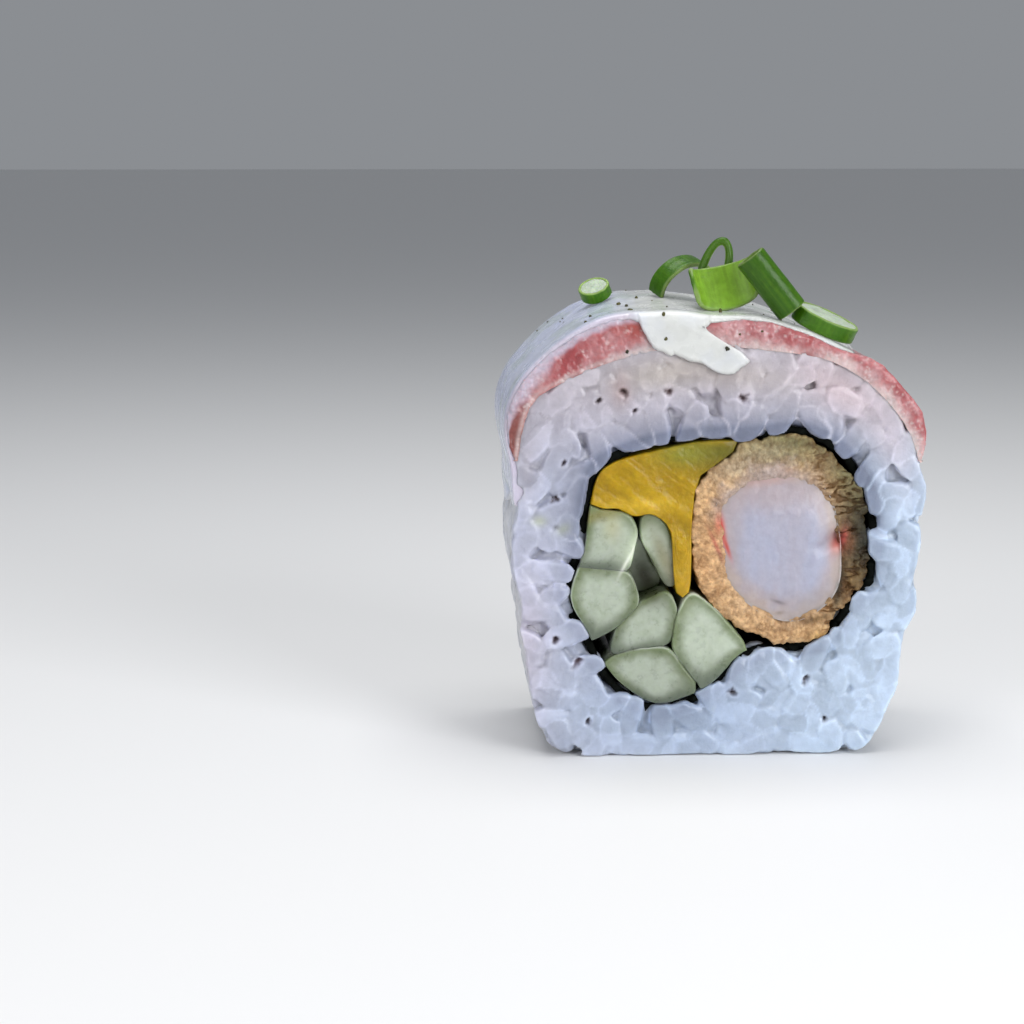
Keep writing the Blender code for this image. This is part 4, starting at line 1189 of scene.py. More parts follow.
@dataclass
class BatterRing:
    """The fried crust round the prawn: a ring of crumbs, golden left and below, brown-green elsewhere, with
    painted shade in its hollows and cracks and in the crevice on its right.
    """

    outlines: Outlines
    node: str = "batter"
    centre: Spot = (7.6, 24.2)
    columns: int = 820
    face_rows: int = 42
    wall_rows: int = 16
    # How far it reaches past its solid, and lies behind the solid's ends before its crumbs rise
    grow: float = 0.15
    set_back: float = 0.25
    crumb: float = 0.62
    fine_crumb: float = 0.3
    height: float = 0.32
    crack_depth: float = 1.1
    finish: Finish = Finish(
        Slot.BATTER, 0.5, (0.5, 0.35, 0.2), soft=0.2, mottle=0.42, mottle_size=0.5, relief=0.10,
        relief_size=0.16, gloss=0.3,
    )
    gold: Colour = (0.66, 0.42, 0.215)
    # Painted shade: the colour in the hollows between crumbs.
    shaded_hollow: Colour = (0.30, 0.15, 0.055)
    inner_rim: Colour = (0.50, 0.41, 0.38)
    # Patches: the two at the right edge and the near-black line low on the right are painted shade in the
    # crevices; the red ones are real marks.
    stains_and_painted_light: tuple[StainOrPaintedLight, ...] = (
        StainOrPaintedLight(7.0, 34.8, 8.0, 2.4, (0.29, 0.25, 0.125), 0.95),
        StainOrPaintedLight(9.5, 35.8, 5.0, 0.9, (0.15, 0.145, 0.05), 0.8, -8),
        StainOrPaintedLight(3.5, 33.2, 4.0, 1.2, (0.46, 0.38, 0.27), 0.7, 20),
        StainOrPaintedLight(17.0, 25.4, 4.0, 9.5, (0.15, 0.12, 0.05), 1.0),
        StainOrPaintedLight(17.4, 25.4, 2.2, 9.0, (0.02, 0.018, 0.008), 1.0),
        StainOrPaintedLight(3.0, 14.8, 2.2, 0.35, (0.15, 0.07, 0.015), 0.8, -35),
        StainOrPaintedLight(15.4, 32.4, 4.0, 2.5, (0.17, 0.15, 0.065), 0.9, -50),
        StainOrPaintedLight(15.5, 19.5, 2.2, 2.6, (0.21, 0.12, 0.04), 0.8, 50),
        StainOrPaintedLight(14.9, 24.6, 1.5, 0.6, (0.42, 0.05, 0.05), 0.9, 80),
        StainOrPaintedLight(15.7, 24.0, 1.3, 0.6, (0.20, 0.07, 0.025), 0.7, 80),
        StainOrPaintedLight(0.9, 26.6, 1.3, 0.5, (0.72, 0.14, 0.07), 0.9, 88),
        StainOrPaintedLight(0.6, 24.2, 2.0, 0.26, (0.42, 0.04, 0.05), 0.9, 114),
        StainOrPaintedLight(8.1, 32.3, 1.3, 0.7, (0.60, 0.33, 0.27), 0.6),
        StainOrPaintedLight(14.6, 19.2, 3.2, 0.5, (0.03, 0.022, 0.008), 0.9, 79),
        StainOrPaintedLight(11.8, 15.6, 2.4, 0.45, (0.13, 0.065, 0.015), 0.85, 8),
        StainOrPaintedLight(-0.6, 22.0, 1.8, 6.0, (0.68, 0.38, 0.17), 0.5),
        StainOrPaintedLight(8.5, 14.2, 5.0, 1.3, (0.55, 0.33, 0.15), 0.5),
        StainOrPaintedLight(13.2, 13.4, 1.6, 0.9, (0.55, 0.32, 0.03), 0.5),
    )

    def build(self) -> None:
        """Carries a section round the prawn: out over the front cut, along the outside, in over the back."""
        solid = Solid(self.node)
        angles = full_turn(self.columns)
        outer = smoothed(solid.radii(self.centre, 0.0, angles), 2.0) + self.grow
        edge = self.outlines.filled_out(polar(self.centre, angles, outer, 0.0))
        outer = np.hypot(edge[:, 0] - self.centre[0], edge[:, 2] - self.centre[1])
        along = polar(self.centre, angles, outer, 0.0)
        outer -= 0.2 - 0.5 * lumps(along, 2.6, 67) - 0.4 * lumps(along, 0.8, 60)
        hem = polar(self.centre, angles, 7.0, 0.0)
        over = 0.95 + 0.5 * np.cos(angles - 2.3) + 0.5 * lumps(hem, 1.6, 64) + 0.25 * lumps(hem, 0.6, 65)
        inner = smoothed(solid.radii(self.centre, 0.0, angles, far=False), 2.0) - over
        front, back = solid.low[1] + self.set_back, solid.high[1] - self.set_back
        level, wall = np.linspace(0, 1, self.face_rows), np.linspace(0, 1, self.wall_rows)[1:-1]
        cut, none = np.ones_like(level), np.zeros_like(wall)
        share = np.concatenate([level, 1 + none, level[::-1], none])[:, None]
        through = (back - front) * wall
        y = np.concatenate([front * cut, front + through, back * cut, back - through])[:, None]
        facing = np.concatenate([-cut, none, cut, none])[:, None]
        grid = polar(self.centre, angles, inner + (outer - inner) * share, y)
        near, tone = crumbs(grid, self.crumb, 61)
        small, small_tone = crumbs(grid, self.fine_crumb, 62)
        lump = 0.6 * (0.75 - near) * (0.5 + tone) + 0.45 * (0.7 - small) + 0.7 * lumps(grid, 1.6, 63, 4)
        craggy = eased(grid[..., 0], 9.0, 15.0)
        lines = np.abs(lumps(grid * np.array([0.6, 1.0, 1.3]), 1.3, 59, 3))
        crack = craggy * (1 - eased(lines, 0.03, 0.13)) * eased(lumps(grid, 2.0, 54), -0.2, 0.2)
        lump = lump + craggy * 0.7 * lumps(grid, 0.8, 55, 2) - self.crack_depth * crack
        round_over = 1.6 * np.minimum(share, 1 - share)
        rim = np.where(facing != 0, np.sqrt(np.clip(round_over * 2.5, 0.0, 1)) - 1, 0)
        depth = np.where(share < 0.5, 0.75, 0.45)
        grid[..., 1] += facing * (self.height * lump * (0.4 + 0.6 * eased(share, 0.0, 0.3)) + depth * rim)
        push = self.height * 0.5 * lump * np.where(share > 0.5, 1, -0.5) * (1 - 0.7 * np.abs(facing))
        grid += from_axis(angles, push)
        skin = Skin.ring(grid)
        patch = 0.35 * lumps(grid, 1.1, 66)
        # Painted light and shade: lighter on raised crumbs, darker in the hollows and the cracks.
        shade = 0.6 + 0.75 * lump + 0.4 * (small_tone - 0.5) + 0.45 * (tone - 0.5) + patch - 0.9 * crack
        shade = shade.ravel()
        base = with_stains_and_painted_light(skin.points, np.tile(self.gold, (len(skin.points), 1)), self.stains_and_painted_light)
        above = (0.1 + 0.9 * eased(grid[..., 2], 25, 31)) * (1 - 0.8 * eased(grid[..., 0], 9, 14))
        hem_share = (0.9 * above * (1 - eased(share + 0.8 * patch, 0.1, 0.6))).ravel()
        base = tinged(base, self.inner_rim, hem_share)
        shade += (0.85 - shade) * 0.7 * hem_share
        dark = np.array(self.shaded_hollow) * (base / np.array(self.gold)) ** 0.8
        skin.tint = np.clip(dark + (base - dark) * np.clip(shade, 0, 1.25)[:, None], 0, 0.95)
        skin.piece("batter_crust", self.finish, self.node)


@dataclass
class TunaSlice:
    """The slice of tuna over the dome: pink flesh with flecks of fat, cut off level with the roll."""

    outlines: Outlines
    stations: int = 760
    face_rows: int = 30
    top_rows: int = 40
    floor_rows: int = 10
    # How far it sinks into the rice and swells outwards, and the length over which its ends taper
    sunk: float = 0.25
    swell: float = 0.05
    taper: float = 1.6
    finish: Finish = Finish(
        Slot.TUNA, 0.32, (1.2, 0.5, 0.4), soft=0.6, mottle=0.2, mottle_size=0.6, relief=0.06, relief_size=0.3,
        coat=0.15,
    )
    pink: Colour = (0.38, 0.105, 0.11)
    light: Colour = (0.48, 0.25, 0.26)
    red: Colour = (0.30, 0.045, 0.05)
    fat: Colour = (0.58, 0.47, 0.46)
    veil: Colour = (0.50, 0.46, 0.55)
    stains_and_painted_light: tuple[StainOrPaintedLight, ...] = (
        StainOrPaintedLight(-15.8, 46.0, 2.6, 2.0, (0.30, 0.045, 0.05), 0.85, 35),
        StainOrPaintedLight(-8.6, 48.9, 2.6, 1.6, (0.33, 0.05, 0.035), 0.9, -25),
        StainOrPaintedLight(-21.6, 36.5, 2.2, 4.6, (0.20, 0.060, 0.048), 0.95),
        StainOrPaintedLight(-7.0, 47.2, 0.7, 1.8, (0.50, 0.34, 0.34), 0.6),
        StainOrPaintedLight(10.6, 45.2, 1.4, 1.0, (0.27, 0.07, 0.07), 0.85, -20),
        StainOrPaintedLight(1.0, 47.8, 2.5, 1.0, (0.54, 0.36, 0.36), 0.6),
        StainOrPaintedLight(-8.4, 45.6, 3.4, 1.0, (0.47, 0.43, 0.44), 0.9, 20),
    )

    def build(self) -> bpy.types.Object:
        """Carries a section over the dome: under it, up the back, forward over the top and down the cut.

        Returns:
            The tuna, so that specks can be laid on it.
        """
        start, end = self.outlines.tuna_ends
        angles = np.linspace(start, end, self.stations)
        under = self.outlines.tuna_under.at(angles) - self.sunk
        over = self.outlines.tuna_over.at(angles) + self.swell
        to_end = np.minimum(angles - start, end - angles) * over.mean()
        thick = np.maximum(over - under, 0.06) * np.sqrt(np.clip(to_end / self.taper, 0.02, 1))
        level = np.linspace(0, 1, self.face_rows)
        top = np.linspace(0, 1, self.top_rows)[1:-1]
        floor = np.linspace(0, 1, self.floor_rows)[1:-1]
        cut = np.ones_like(level)
        share = np.concatenate([level, 1 + 0 * top, level[::-1], 0 * floor])
        run = np.concatenate([0 * cut, top, cut, 1 - floor])
        facing = np.concatenate([-cut, 0 * top, cut, 0 * floor])
        across = polar(ROLL_CENTRE, angles, over, 0.0)
        front = FRONT + 0.05 + 0.25 * lumps(across, 4.0, 71)[:, None]
        back = BACK - 0.3 + 0.5 * lumps(across, 5.0, 72)[:, None]
        y = front + (back - front) * run
        inner = eased(np.minimum(y - FRONT, BACK - y), 0.5, 4.0) * (1 - eased(to_end[:, None], 1.0, 9.0))
        ways = np.stack(np.broadcast_arrays(0.0, y, np.sign(angles[:, None] - 1.5) * 9), axis=-1)
        turned = angles[:, None] + 0.07 * inner * lumps(ways, 5.0, 58)
        ground = under[:, None] + self.outlines.mat.at(turned) - self.outlines.mat.at(angles)[:, None]
        grid = polar(ROLL_CENTRE, turned, ground + thick[:, None] * share, y)
        flake = lumps(grid * np.array([1.0, 0.5, 1.0]), 1.1, 73)
        round_over = np.where(facing != 0, np.sqrt(np.clip(5 * (1 - share), 0, 1)) - 1, 0)
        fine = lumps(grid, 0.5, 69, 2)
        grid[..., 1] += facing * (0.22 * flake + 0.07 * fine + 0.35 * round_over)
        rise = (share == 1) * (0.14 * lumps(grid, 3.0, 74) + 0.05 * flake)
        grid += from_axis(angles[:, None], rise)
        skin = Skin.capped(grid)
        points = skin.points
        angle, radius = angle_of(points)
        depth = radius - np.interp(angle, angles, under)
        cloud = 0.45 + 1.2 * lumps(points, 1.4, 75) + 0.6 * lumps(points, 0.5, 76)
        tint = blend(self.pink, self.light, cloud)
        tint = tinged(tint, self.red, 0.7 * eased(lumps(points, 2.6, 68), 0.1, 0.45))
        tint = with_stains_and_painted_light(points, tint, self.stains_and_painted_light)
        fleck, _ = crumbs(points + 0.3 * lumps(points, 0.5, 57)[:, None], 0.6, 77)
        white = np.clip(1.5 - 3.5 * fleck, 0, 0.8) * eased(lumps(points, 1.6, 78), -0.1, 0.3)
        border = np.exp(-((depth - 0.3) / 0.3) ** 2) * (points[:, 0] < -6)
        border = border * (0.8 + 0.5 * lumps(points, 1.0, 56))
        fade = 0.9 * eased(points[:, 0], -4, 6) * (1 - eased(depth + 0.9 * lumps(points, 1.5, 79), 0.0, 1.5))
        patch = np.exp(-(((points[:, 0] - 10.6) / 1.5) ** 2) - ((points[:, 2] - 45.2) / 1.1) ** 2)
        tint = tinged(tint, self.fat, np.clip((0.7 * white + 0.8 * border + fade) * (1 - 0.85 * patch), 0, 1))
        top = np.interp(angle, angles, over) - radius + 0.7 * lumps(points, 1.8, 80)
        wide = 0.3 + (0.9 + 0.9 * eased(-points[:, 0], 15, 21)) * eased(points[:, 2], 36.5, 40.5)
        veil = 0.85 * (1 - eased(top / wide, 0.25, 1.0)) * eased(-points[:, 0], 6, 11)
        skin.tint = np.clip(tinged(tint, self.veil, veil), 0, 0.95)
        return skin.piece("tuna_slice", self.finish, "tuna")


@dataclass
class HerbCream:
    """The white sauce: a skin over the tuna that turns down over the front cut, furthest in the middle."""

    outlines: Outlines
    right_x: float = 15.8
    stations: int = 520
    top_rows: int = 46
    fall_rows: int = 48
    bend: float = 0.8
    front_edge: float = FRONT - 0.05
    # How far it stops short of the back cut, how deep it reaches under its left end, and its least thickness
    back_margin: float = 2.2
    left_sink: float = 1.3
    thinnest: float = 0.3
    # The length over which its edges and its two ends round off, and the stations in a section's length
    round_edge: float = 0.9
    round_end: float = 1.2
    end_stations: int = 560
    finish: Finish = Finish(
        Slot.CREAM, 0.26, (1.6, 1.6, 1.7), soft=0.7, mottle=0.06, mottle_size=2.5, relief=0.03,
        relief_size=0.8, coat=0.25,
    )
    white: Colour = (0.58, 0.59, 0.57)
    milky: Colour = (0.52, 0.56, 0.72)
    blush: Colour = (0.48, 0.34, 0.38)
    herb: Colour = (0.38, 0.45, 0.39)
    # How far it runs down over the front cut and its slant from straight down, as (x, length, degrees)
    runs: tuple[tuple[float, float, float], ...] = (
        (-25.0, -0.2, 0), (-14.0, -0.25, 0), (-9.2, -0.25, 0), (-8.2, 0.2, 0), (-7.6, 1.6, 8),
        (-7.2, 2.9, 12), (-6.6, 3.8, 15), (-5.9, 4.5, 22), (-5.1, 5.3, 28), (-4.4, 6.5, 37), (-3.7, 7.5, 41),
        (-3.0, 8.4, 45), (-2.5, 8.4, 52), (-2.1, 7.8, 58), (-1.7, 6.1, 60), (-1.3, 3.4, 57), (-0.9, 1.1, 45),
        (-0.3, 0.1, 20), (1.0, -0.2, 0), (16.0, -0.25, 0),
    )
    thickness: tuple[Spot, ...] = (
        (-24.0, 0.6), (-17.0, 0.9), (-9.0, 1.5), (-2.0, 1.4), (5.0, 0.9), (10.0, 0.6), (16.0, 0.6)
    )
    swell: tuple[Spot, ...] = (
        (-14.0, 0.5), (-12.0, 0.5), (-8.0, 0.55), (-3.0, 0.9), (2.0, 1.15), (8.0, 1.1), (12.0, 0.8)
    )

    def path(self, distance: Array) -> tuple[Array, Array, Array]:
        """A path that comes forward level, turns a quarter circle and goes down over the front cut.

        Args:
            distance: Length along the path, 0 halfway round the turn and growing downwards.

        Returns:
            y, the height against the level stretch, and the outward direction as (y, height).
        """
        half = self.bend * math.pi / 4
        turn = np.clip(distance / half, -1, 1) * math.pi / 4 + math.pi / 4
        before, after = np.minimum(distance + half, 0), np.maximum(distance - half, 0)
        y = self.front_edge + self.bend - before - self.bend * np.sin(turn)
        height = self.bend * (np.cos(turn) - 1) - after
        return y, height, np.stack([-np.sin(turn), np.cos(turn)], axis=-1)

    def build(self) -> bpy.types.Object:
        """Carries the section, under and over along the path, across the roll from left to right.

        Returns:
            The cream, so that specks can be laid on it.
        """
        fine = np.linspace(-0.2, math.pi + 0.3, 3000)
        edge = polar(ROLL_CENTRE, fine, self.outlines.carried.at(fine), 0.0)
        inside = (edge[:, 0] < self.right_x) & (fine > 0.5) & (edge[:, 2] > 28.8)
        angles = np.linspace(fine[inside].max(), fine[inside].min(), self.stations)
        base = self.outlines.carried.at(angles) + 0.05
        across = ROLL_CENTRE[0] + base * np.cos(angles)
        reach, length, slant = np.transpose(self.runs)
        ways = across[:, None] * np.array([1.0, 0.0, 0.0])
        run = np.interp(across, reach, length)
        run = run + np.clip(run, 0.3, 1.5) * (0.45 * lumps(ways, 0.9, 81) + 0.25 * lumps(ways, 0.35, 82))
        lean = np.radians(np.interp(across, reach, slant))[:, None]
        back_edge = BACK - self.back_margin + 1.1 * lumps(ways, 6.0, 83) + 0.5 * lumps(ways, 2.0, 84)
        half = self.bend * math.pi / 4
        level = np.linspace(0, 1, self.top_rows)[:-1]
        fall = np.linspace(0, 1, self.fall_rows)
        fall = (fall + fall**2) / 2
        distance = np.concatenate([
            -half - (back_edge - self.front_edge - self.bend)[:, None] * (1 - level),
            -half + np.maximum(run + half, 0.1)[:, None] * fall,
        ], axis=1)
        length = distance[:, -1:] - distance[:, :1]
        y, drop, outward = self.path(distance)
        past = np.maximum(distance - half, 0)
        drop = drop + past * (1 - np.cos(lean))
        aside = past * np.sin(lean)

        to_edge = np.minimum(distance - distance[:, :1], distance[:, -1:] - distance)
        station = np.arange(self.stations)[:, None]
        to_end = np.minimum(station, station[::-1]) * length.mean() / self.end_stations
        lip = np.sqrt(1 - (1 - np.clip(to_edge / self.round_edge, 0, 1)) ** 2)
        lip = lip * np.sqrt(np.clip(to_end / self.round_end, 0, 1))
        thick = np.interp(across, *np.transpose(self.thickness))[:, None]
        thick = thick * np.interp(y, *np.transpose(self.swell))
        ground = polar(ROLL_CENTRE, angles[:, None], base[:, None] + drop, y)
        uneven = 1 + 0.3 * lumps(ground, 3.2, 85) + 0.08 * lumps(ground, 1.0, 86)
        on_top = self.thinnest + np.maximum(thick - self.thinnest, 0.12) * uneven
        in_front = 0.6 + 0.15 * eased(past, 0.5, 3.0) + 0.12 * lumps(ground, 2.0, 89)
        down = eased(distance, -half, half)
        skin_height = (on_top * (1 - down) + in_front * down) * lip + 0.02
        station = np.linspace(0, 1, self.stations)[:, None]
        inner = eased(y, FRONT + 1.0, FRONT + 5.0) * (1 - eased(np.minimum(station, 1 - station), 0.02, 0.22))
        ends = np.stack(np.broadcast_arrays(0.0, y, 9 * np.sign(station - 0.5)), axis=-1)
        normal = angles[:, None] - np.sign(station - 0.5) * 0.16 * inner * lumps(ends, 5.5, 90)
        base = base[:, None] + self.outlines.carried.at(normal) - self.outlines.carried.at(angles[:, None])
        sink = self.left_sink * eased(-across, 18.0, 21.5)[:, None]
        under = polar(ROLL_CENTRE, normal, base - sink, y)
        under[..., 2] += drop
        under[..., 0] += aside
        back, up = np.moveaxis(outward, -1, 0)
        over = polar(ROLL_CENTRE, normal, base + skin_height * up, y + skin_height * back)
        over[..., 2] += drop
        over[..., 0] += aside
        skin = Skin.capped(np.concatenate([under, over[:, ::-1]], axis=1))
        skin.tint = self.tinted(skin.points)
        return skin.piece("herb_cream", self.finish, "cream")

    def tinted(self, points: Array) -> Array:
        """Milky where it is thin on the left, faintly green round the herbs on top, white elsewhere."""
        x, y = points[:, 0], points[:, 1]
        cloud = 0.3 * lumps(points, 2.5, 87)
        thin = eased(-x, 6.0, 13.0) + cloud
        tint = blend(self.white, self.milky, thin)
        low = 0.5 * eased(FRONT + 1.2 + cloud - y, 0.0, 1.0) * eased(-x, 8.0, 10.0)
        tint = tinged(tint, self.blush, low)
        green = eased(y, -12.5, -9) * eased(lumps(points, 3.0, 88), 0.0, 0.5) * 0.5
        return np.clip(tinged(tint, self.herb, green), 0, 0.95)


@dataclass(frozen=True)
class Specks:
    """Herb and pepper in the cream: small uneven lumps. The seen ones are (x, z, half width) on the cut."""

    seen: tuple[tuple[float, float, float], ...] = (
        (-10.5, 51.1, 0.34), (-9.6, 50.9, 0.2), (-9.2, 50.5, 0.26), (1.6, 46.2, 0.28), (0.8, 50.2, 0.34),
        (-9.5, 45.9, 0.22), (-5.2, 47.3, 0.22), (-5.5, 50.0, 0.25),
    )
    scattered: int = 26
    size: Spot = (0.08, 0.22)
    pepper: Colour = (0.02, 0.02, 0.008)
    leaf: Colour = (0.10, 0.09, 0.02)
    finish: Finish = Finish(
        Slot.CREAM, 0.6, (0.1, 0.1, 0.1), soft=0.0, mottle=0.3, mottle_size=0.3, relief=0.03,
        relief_size=0.15, name="herb",
    )

    def build(self, carriers: list[bpy.types.Object], eye: Array, dice: np.random.Generator) -> None:
        """Drops each speck onto what it meets first along a ray, and sinks it by half its height.

        Args:
            carriers: What they can lie on.
            eye: Where the rays for the seen ones start, in mm.
            dice: For the scattered ones.
        """
        trees = [BVHTree.FromObject(carrier, bpy.context.evaluated_depsgraph_get()) for carrier in carriers]
        rays = [(eye, np.array([x, FRONT, z]) - eye, size) for x, z, size in self.seen]
        for _ in range(self.scattered):
            top = np.array([dice.uniform(-20, 14), dice.uniform(FRONT, BACK - 3), 70.0])
            rays.append((top, np.array([0.0, 0.0, -1.0]), dice.uniform(*self.size)))
        spots, sizes = [], []
        for start, way, size in rays:
            hits = [tree.ray_cast(Vector(start * MM), Vector(way).normalized()) for tree in trees]
            met = [(hit[3], tuple(hit[0])) for hit in hits if hit[0] is not None]
            if met:
                spots.append(np.array(min(met)[1]) / MM)
                sizes.append(size)
        rings, around = 4, 7
        rise = -np.cos(np.linspace(0, math.pi, rings + 2)[1:-1])[:, None]
        wide, turn = np.sqrt(1 - rise**2), full_turn(around)
        ball = np.stack(np.broadcast_arrays(wide * np.cos(turn), wide * np.sin(turn), rise), axis=-1)
        shape = Skin.capped(ball)
        shape.points[-2:, 2] = (-1, 1)
        count = len(spots)
        uneven = shape.points[None] * (1 + 0.3 * dice.uniform(-1, 1, (count, len(shape.points), 1)))
        uneven *= dice.uniform(0.6, 1.2, (count, 1, 3))
        points = uneven * np.array(sizes)[:, None, None] + np.array(spots)[:, None]
        skin = Skin.copies(points, shape.faces)
        dark = blend(self.pepper, self.leaf, dice.uniform(0, 1, count))
        skin.tint = np.repeat(dark, len(shape.points), axis=0)
        skin.piece("herb_specks", self.finish)


@dataclass
class OnionSlice:
    """A slice of a hollow onion leaf: a whole ring, or an arc of one, with rounded pale rims.

    radii are its half widths. end_cut bows the lower edge of an arc. axis and toward turn it.
    """

    node: str
    radii: Spot
    wall: float
    length: float
    axis: tuple[float, float, float]
    toward: tuple[float, float, float]
    start: float = 0.0
    sweep: float = 360.0
    end_cut: float = 0.0
    drop: float = 0.0
    pith: bool = False
    shade: float = 1.0
    columns: int = 150
    rim_rows: int = 9
    wall_rows: int = 26
    seed: int = 90
    rind: Colour = (0.045, 0.150, 0.003)
    vein: Colour = (0.075, 0.200, 0.006)
    lining: Colour = (0.20, 0.38, 0.028)
    rim: Colour = (0.26, 0.38, 0.11)
    pith_tint: Colour = (0.42, 0.50, 0.38)
    finish: Finish = Finish(
        Slot.ONION, 0.34, (0.5, 0.9, 0.2), soft=0.25, mottle=0.22, mottle_size=0.7, relief=0.04,
        relief_size=0.3, gloss=0.24,
    )

    def build(self) -> None:
        """Turns a thin rounded section round the leaf's axis, then sets it where its solid lies."""
        whole = self.sweep >= 360
        steps = np.linspace(0, math.radians(self.sweep), self.columns + whole)[:self.columns]
        around = math.radians(self.start) + steps
        across = np.linspace(-1, 1, self.columns)
        bow = self.end_cut * np.sqrt(np.clip(1 - across**2, 0, 1))
        turn = np.linspace(0, math.pi, self.rim_rows)[1:-1]
        climb = np.linspace(-1, 1, self.wall_rows)
        height = np.concatenate([climb, 1 + 0 * turn, climb[::-1], -1 - 0 * turn])
        bulge = np.concatenate([0 * climb, np.sin(turn), 0 * climb, -np.sin(turn)])
        inward = np.concatenate([0 * climb, (1 - np.cos(turn)) / 2, 1 + 0 * climb, (1 + np.cos(turn)) / 2])
        half = (self.length - self.wall) / 2
        up = np.where(height[:, None] < 0, height[:, None] * (half + bow), height[:, None] * half)
        up = up + 0.5 * self.wall * bulge[:, None]
        local = np.stack(np.broadcast_arrays(np.cos(around)[None], np.sin(around)[None], up), axis=-1)
        wavy = 1 + 0.02 * lumps(local, 0.8, self.seed)
        grid = np.stack([
            (self.radii[0] - self.wall * inward[:, None]) * np.cos(around) * wavy,
            (self.radii[1] - self.wall * inward[:, None]) * np.sin(around) * wavy,
            up + 0.08 * lumps(local * 3, 1.5, self.seed + 1),
        ], axis=-1)
        rim = np.broadcast_to(np.abs(bulge)[:, None], grid.shape[:2])
        inside = np.broadcast_to(eased(inward, 0.3, 0.7)[:, None], grid.shape[:2])
        veins = np.broadcast_to(lumps(local * np.array([9, 9, 0.25]), 1.0, self.seed + 2), grid.shape[:2])
        if not whole:
            grid, rim, inside, veins = (np.swapaxes(values, 0, 1) for values in (grid, rim, inside, veins))
        skin = Skin.ring(grid) if whole else Skin.capped(grid)
        poles = len(skin.points) - rim.size
        rim, inside, veins = (np.append(values.ravel(), np.zeros(poles)) for values in (rim, inside, veins))
        tint = blend(self.rind, self.vein, 0.4 + 1.2 * veins)
        tint = tinged(tint, np.array(self.lining) * (1 + 0.25 * veins[:, None]), inside)
        tint = tinged(tint, self.rim, eased(rim, 0.2, 0.8)) * self.shade
        if self.pith:
            membrane = self.membrane()
            cloud = lumps(membrane.points, 0.8, self.seed + 3)
            pale = np.array(self.pith_tint) * (1 + 0.2 * cloud)[:, None]
            skin = Skin.joined([skin, membrane])
            tint = np.concatenate([tint, pale])
        z = Vector(self.axis).normalized()
        x = (Vector(self.toward) - z * z.dot(Vector(self.toward))).normalized()
        turned = skin.points @ np.array(Matrix((x, z.cross(x), z)))
        low, high = (np.array(corner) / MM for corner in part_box(self.node))
        skin.points = turned + (low + high) / 2 - (turned.min(0) + turned.max(0)) / 2 - (0, 0, self.drop)
        skin.tint = np.clip(tint, 0, 0.95)
        skin.piece(self.node + "_slice", self.finish, self.node)

    def membrane(self) -> Skin:
        """The thin pale skin that closes the hollow of a young leaf, a little below its upper rim."""
        rings, around = 14, full_turn(48)
        out = np.concatenate([np.linspace(0.05, 1, rings), np.linspace(1, 0.05, rings)])[:, None]
        side = np.repeat([0.1, -0.1], rings)[:, None]
        half = np.array(self.radii) - 0.7 * self.wall
        across = (half[0] * out * np.cos(around), half[1] * out * np.sin(around))
        flat = np.stack(np.broadcast_arrays(*across, side), axis=-1)
        flat[..., 2] += 0.4 * self.length + 0.12 * lumps(flat, 1.0, self.seed + 4)
        return Skin.capped(flat)


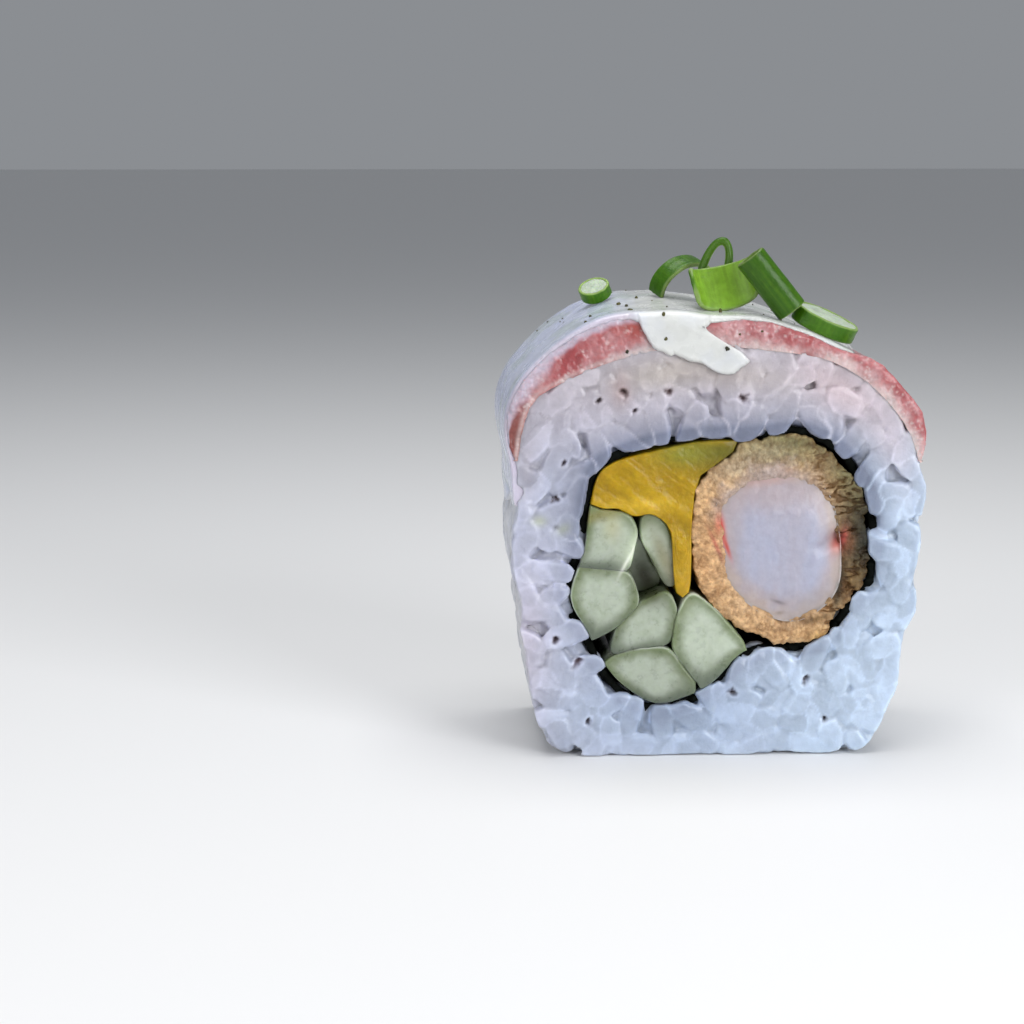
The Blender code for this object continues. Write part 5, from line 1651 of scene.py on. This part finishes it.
@dataclass
class Studio:
    """The floor, the soft lights and the camera at the photograph's viewing angle. Its picture is square."""

    target: tuple[float, float, float] = (-22.2, -12.5, 28.1)
    distance: float = 280.0
    elevation: float = 9.0
    azimuth: float = -2.5
    pixels: int = 1024
    pixels_per_mm: float = 9.0
    sensor: float = 36.0
    floor_size: float = 6.0
    lit_spot: tuple[float, float, float] = (0.0, 0.0, 24.0)
    # Each light's place, size, power and colour
    lamps: tuple[tuple[str, tuple[float, float, float], float, float, Colour], ...] = (
        ("key", (230.0, -330.0, 150.0), 200, 1.3, (0.97, 0.98, 1.0)),
        ("fill", (-260.0, -300.0, 160.0), 240, 0.55, (1.0, 0.98, 0.97)),
        ("top", (0.0, 20.0, 420.0), 300, 1.25, (1.0, 1.0, 1.0)),
    )

    def eye(self) -> Array:
        """Where the camera is, in mm."""
        rise, swing = math.radians(self.elevation), math.radians(self.azimuth)
        level = math.cos(rise)
        way = np.array([math.sin(swing) * level, -math.cos(swing) * level, math.sin(rise)])
        return np.array(self.target) + way * self.distance

    def aimed(self, place: Array, target: Array) -> Matrix:
        """A placing in metres at that spot, looking at the target."""
        back = Vector(place - target)
        return Matrix.Translation(Vector(place) * MM) @ back.to_track_quat("Z", "Y").to_matrix().to_4x4()

    def camera(self) -> None:
        """The lens takes in as many mm at the front cut as the picture has pixels at that scale."""
        lens = bpy.data.cameras.new("camera")
        lens.sensor_width = self.sensor
        lens.lens = self.pixels_per_mm * self.distance / self.pixels * self.sensor
        camera = bpy.data.objects.new("camera", lens)
        camera.matrix_world = self.aimed(self.eye(), np.array(self.target))
        bpy.context.collection.objects.link(camera)
        bpy.context.scene.camera = camera

    def lamp(
        self, name: str, place: tuple[float, float, float], size: float, power: float, colour: Colour
    ) -> None:
        """A square soft light of that size in mm, turned to the roll."""
        light = bpy.data.lights.new(name, "AREA")
        light.size = size * MM
        light.energy = power
        light.color = colour
        lamp = bpy.data.objects.new(name, light)
        lamp.matrix_world = self.aimed(np.array(place), np.array(self.lit_spot))
        bpy.context.collection.objects.link(lamp)

    def floor(self) -> None:
        """A wide pale floor, in metres."""
        half = self.floor_size / 2
        corners = [(-half, -half, 0), (half, -half, 0), (half, half, 0), (-half, half, 0)]
        mesh = bpy.data.meshes.new("floor")
        mesh.from_pydata(corners, [], [(0, 1, 2, 3)])
        floor = bpy.data.objects.new("floor", mesh)
        bpy.context.collection.objects.link(floor)
        pale = bpy.data.materials.new("pale_floor")
        pale.use_nodes = True
        shader = pale.node_tree.nodes["Principled BSDF"]
        shader.inputs["Base Color"].default_value = (0.78, 0.78, 0.78, 1)
        shader.inputs["Roughness"].default_value = 0.6
        mesh.materials.append(pale)

    def build(self) -> None:
        """Sets up the floor, a key from the right, a fill from the left, a top light and a pale sky."""
        scene = bpy.context.scene
        scene.view_settings.view_transform = "Standard"
        world = bpy.data.worlds.new("sky")
        world.use_nodes = True
        sky = world.node_tree.nodes["Background"]
        sky.inputs["Color"].default_value = (0.86, 0.9, 0.96, 1)
        sky.inputs["Strength"].default_value = 0.3
        scene.world = world
        self.floor()
        for lamp in self.lamps:
            self.lamp(*lamp)
        self.camera()


def fillings(outlines: Outlines) -> list[Filling]:
    """The prawn, the mango and the seven sticks of cucumber."""
    wet = Finish(
        Slot.CUCUMBER, 0.3, (1.2, 1.5, 0.9), soft=0.8, mottle=0.12, mottle_size=0.7, relief=0.03,
        relief_size=0.3, coat=0.1,
    )
    meat = Finish(
        Slot.PRAWN, 0.36, (1.3, 1.0, 1.0), soft=0.8, mottle=0.1, mottle_size=0.8, relief=0.03, relief_size=0.3
    )
    fruit = Finish(
        Slot.MANGO, 0.36, (1.2, 0.6, 0.1), soft=0.5, mottle=0.22, mottle_size=0.6, relief=0.06,
        relief_size=0.3, gloss=0.25,
    )
    made: list[Filling] = [
        Prawn("prawn", meat, outlines, (7.6, 24.2), grow=0.2, rim=0.4, columns=320, cap_rows=52, seed=150),
        Mango(
            "mango", fruit, outlines, (-3.4, 31.2), grow=0.5, rim=0.3, blur=1.5, columns=400, cap_rows=56,
            seed=160,
        ),
    ]
    sticks = {
        "top_left": 0.97, "left": 1.0, "thin": 0.85, "short": 1.35, "middle": 0.98, "right": 1.1,
        "bottom": 0.9,
    }
    for number, (name, shade) in enumerate(sticks.items()):
        made.append(Cucumber(
            "cucumber_" + name, wet, outlines, grow=0.42, rim=0.34, blur=1.6, columns=220,
            seed=170 + 7 * number, shade=shade,
        ))
    return made


def onions() -> list[OnionSlice]:
    """The six slices of onion on the cream."""
    return [
        OnionSlice(
            "onion_arch", (3.9, 3.3), 0.6, 2.6, (0.52, -0.77, -0.36), (1, 0, 0), sweep=180, drop=0.75,
            seed=201, shade=0.8,
        ),
        OnionSlice(
            "onion_loop", (1.85, 4.0), 0.95, 1.4, (-0.12, -0.98, 0.10), (0.95, 0, -0.3), drop=0.68, seed=211,
            shade=0.8, rim=(0.07, 0.17, 0.012),
        ),
        OnionSlice(
            "onion_scoop", (3.8, 2.0), 0.6, 3.0, (-0.2, 0.35, 0.9), (1, 0, 0.2), start=4, sweep=172,
            end_cut=2.3, drop=0.5, seed=221, shade=0.88,
        ),
        OnionSlice(
            "onion_tube", (1.85, 1.5), 0.45, 7.7, (-0.62, 0.04, 0.78), (0.7, -0.6, 0.5), drop=0.5, seed=231,
            shade=0.65,
        ),
        OnionSlice(
            "onion_ring_right", (3.8, 2.4), 0.5, 1.9, (0.40, -0.24, 0.88), (1, 0, 0), drop=0.42, seed=241,
            shade=0.8, pith=True,
        ),
        OnionSlice(
            "onion_ring_left", (1.8, 1.4), 0.35, 1.6, (-0.3, -0.60, 0.74), (1, 0, 0), drop=0.58, seed=251,
            pith=True,
        ),
    ]


def main() -> None:
    """Builds the roll from the rice outwards, and the studio round it."""
    logging.basicConfig(level=logging.INFO, format="%(name)s: %(message)s")
    dice = np.random.default_rng(5)
    studio = Studio()
    studio.build()
    outlines = Outlines()
    RiceRing(outlines, dice).build()
    NoriSheet(outlines).build()
    for filling in fillings(outlines):
        filling.build()
    BatterRing(outlines).build()
    tuna = TunaSlice(outlines).build()
    cream = HerbCream(outlines).build()
    Specks().build([tuna, cream], studio.eye(), dice)
    for onion in onions():
        onion.build()


if __name__ == "__main__":
    main()
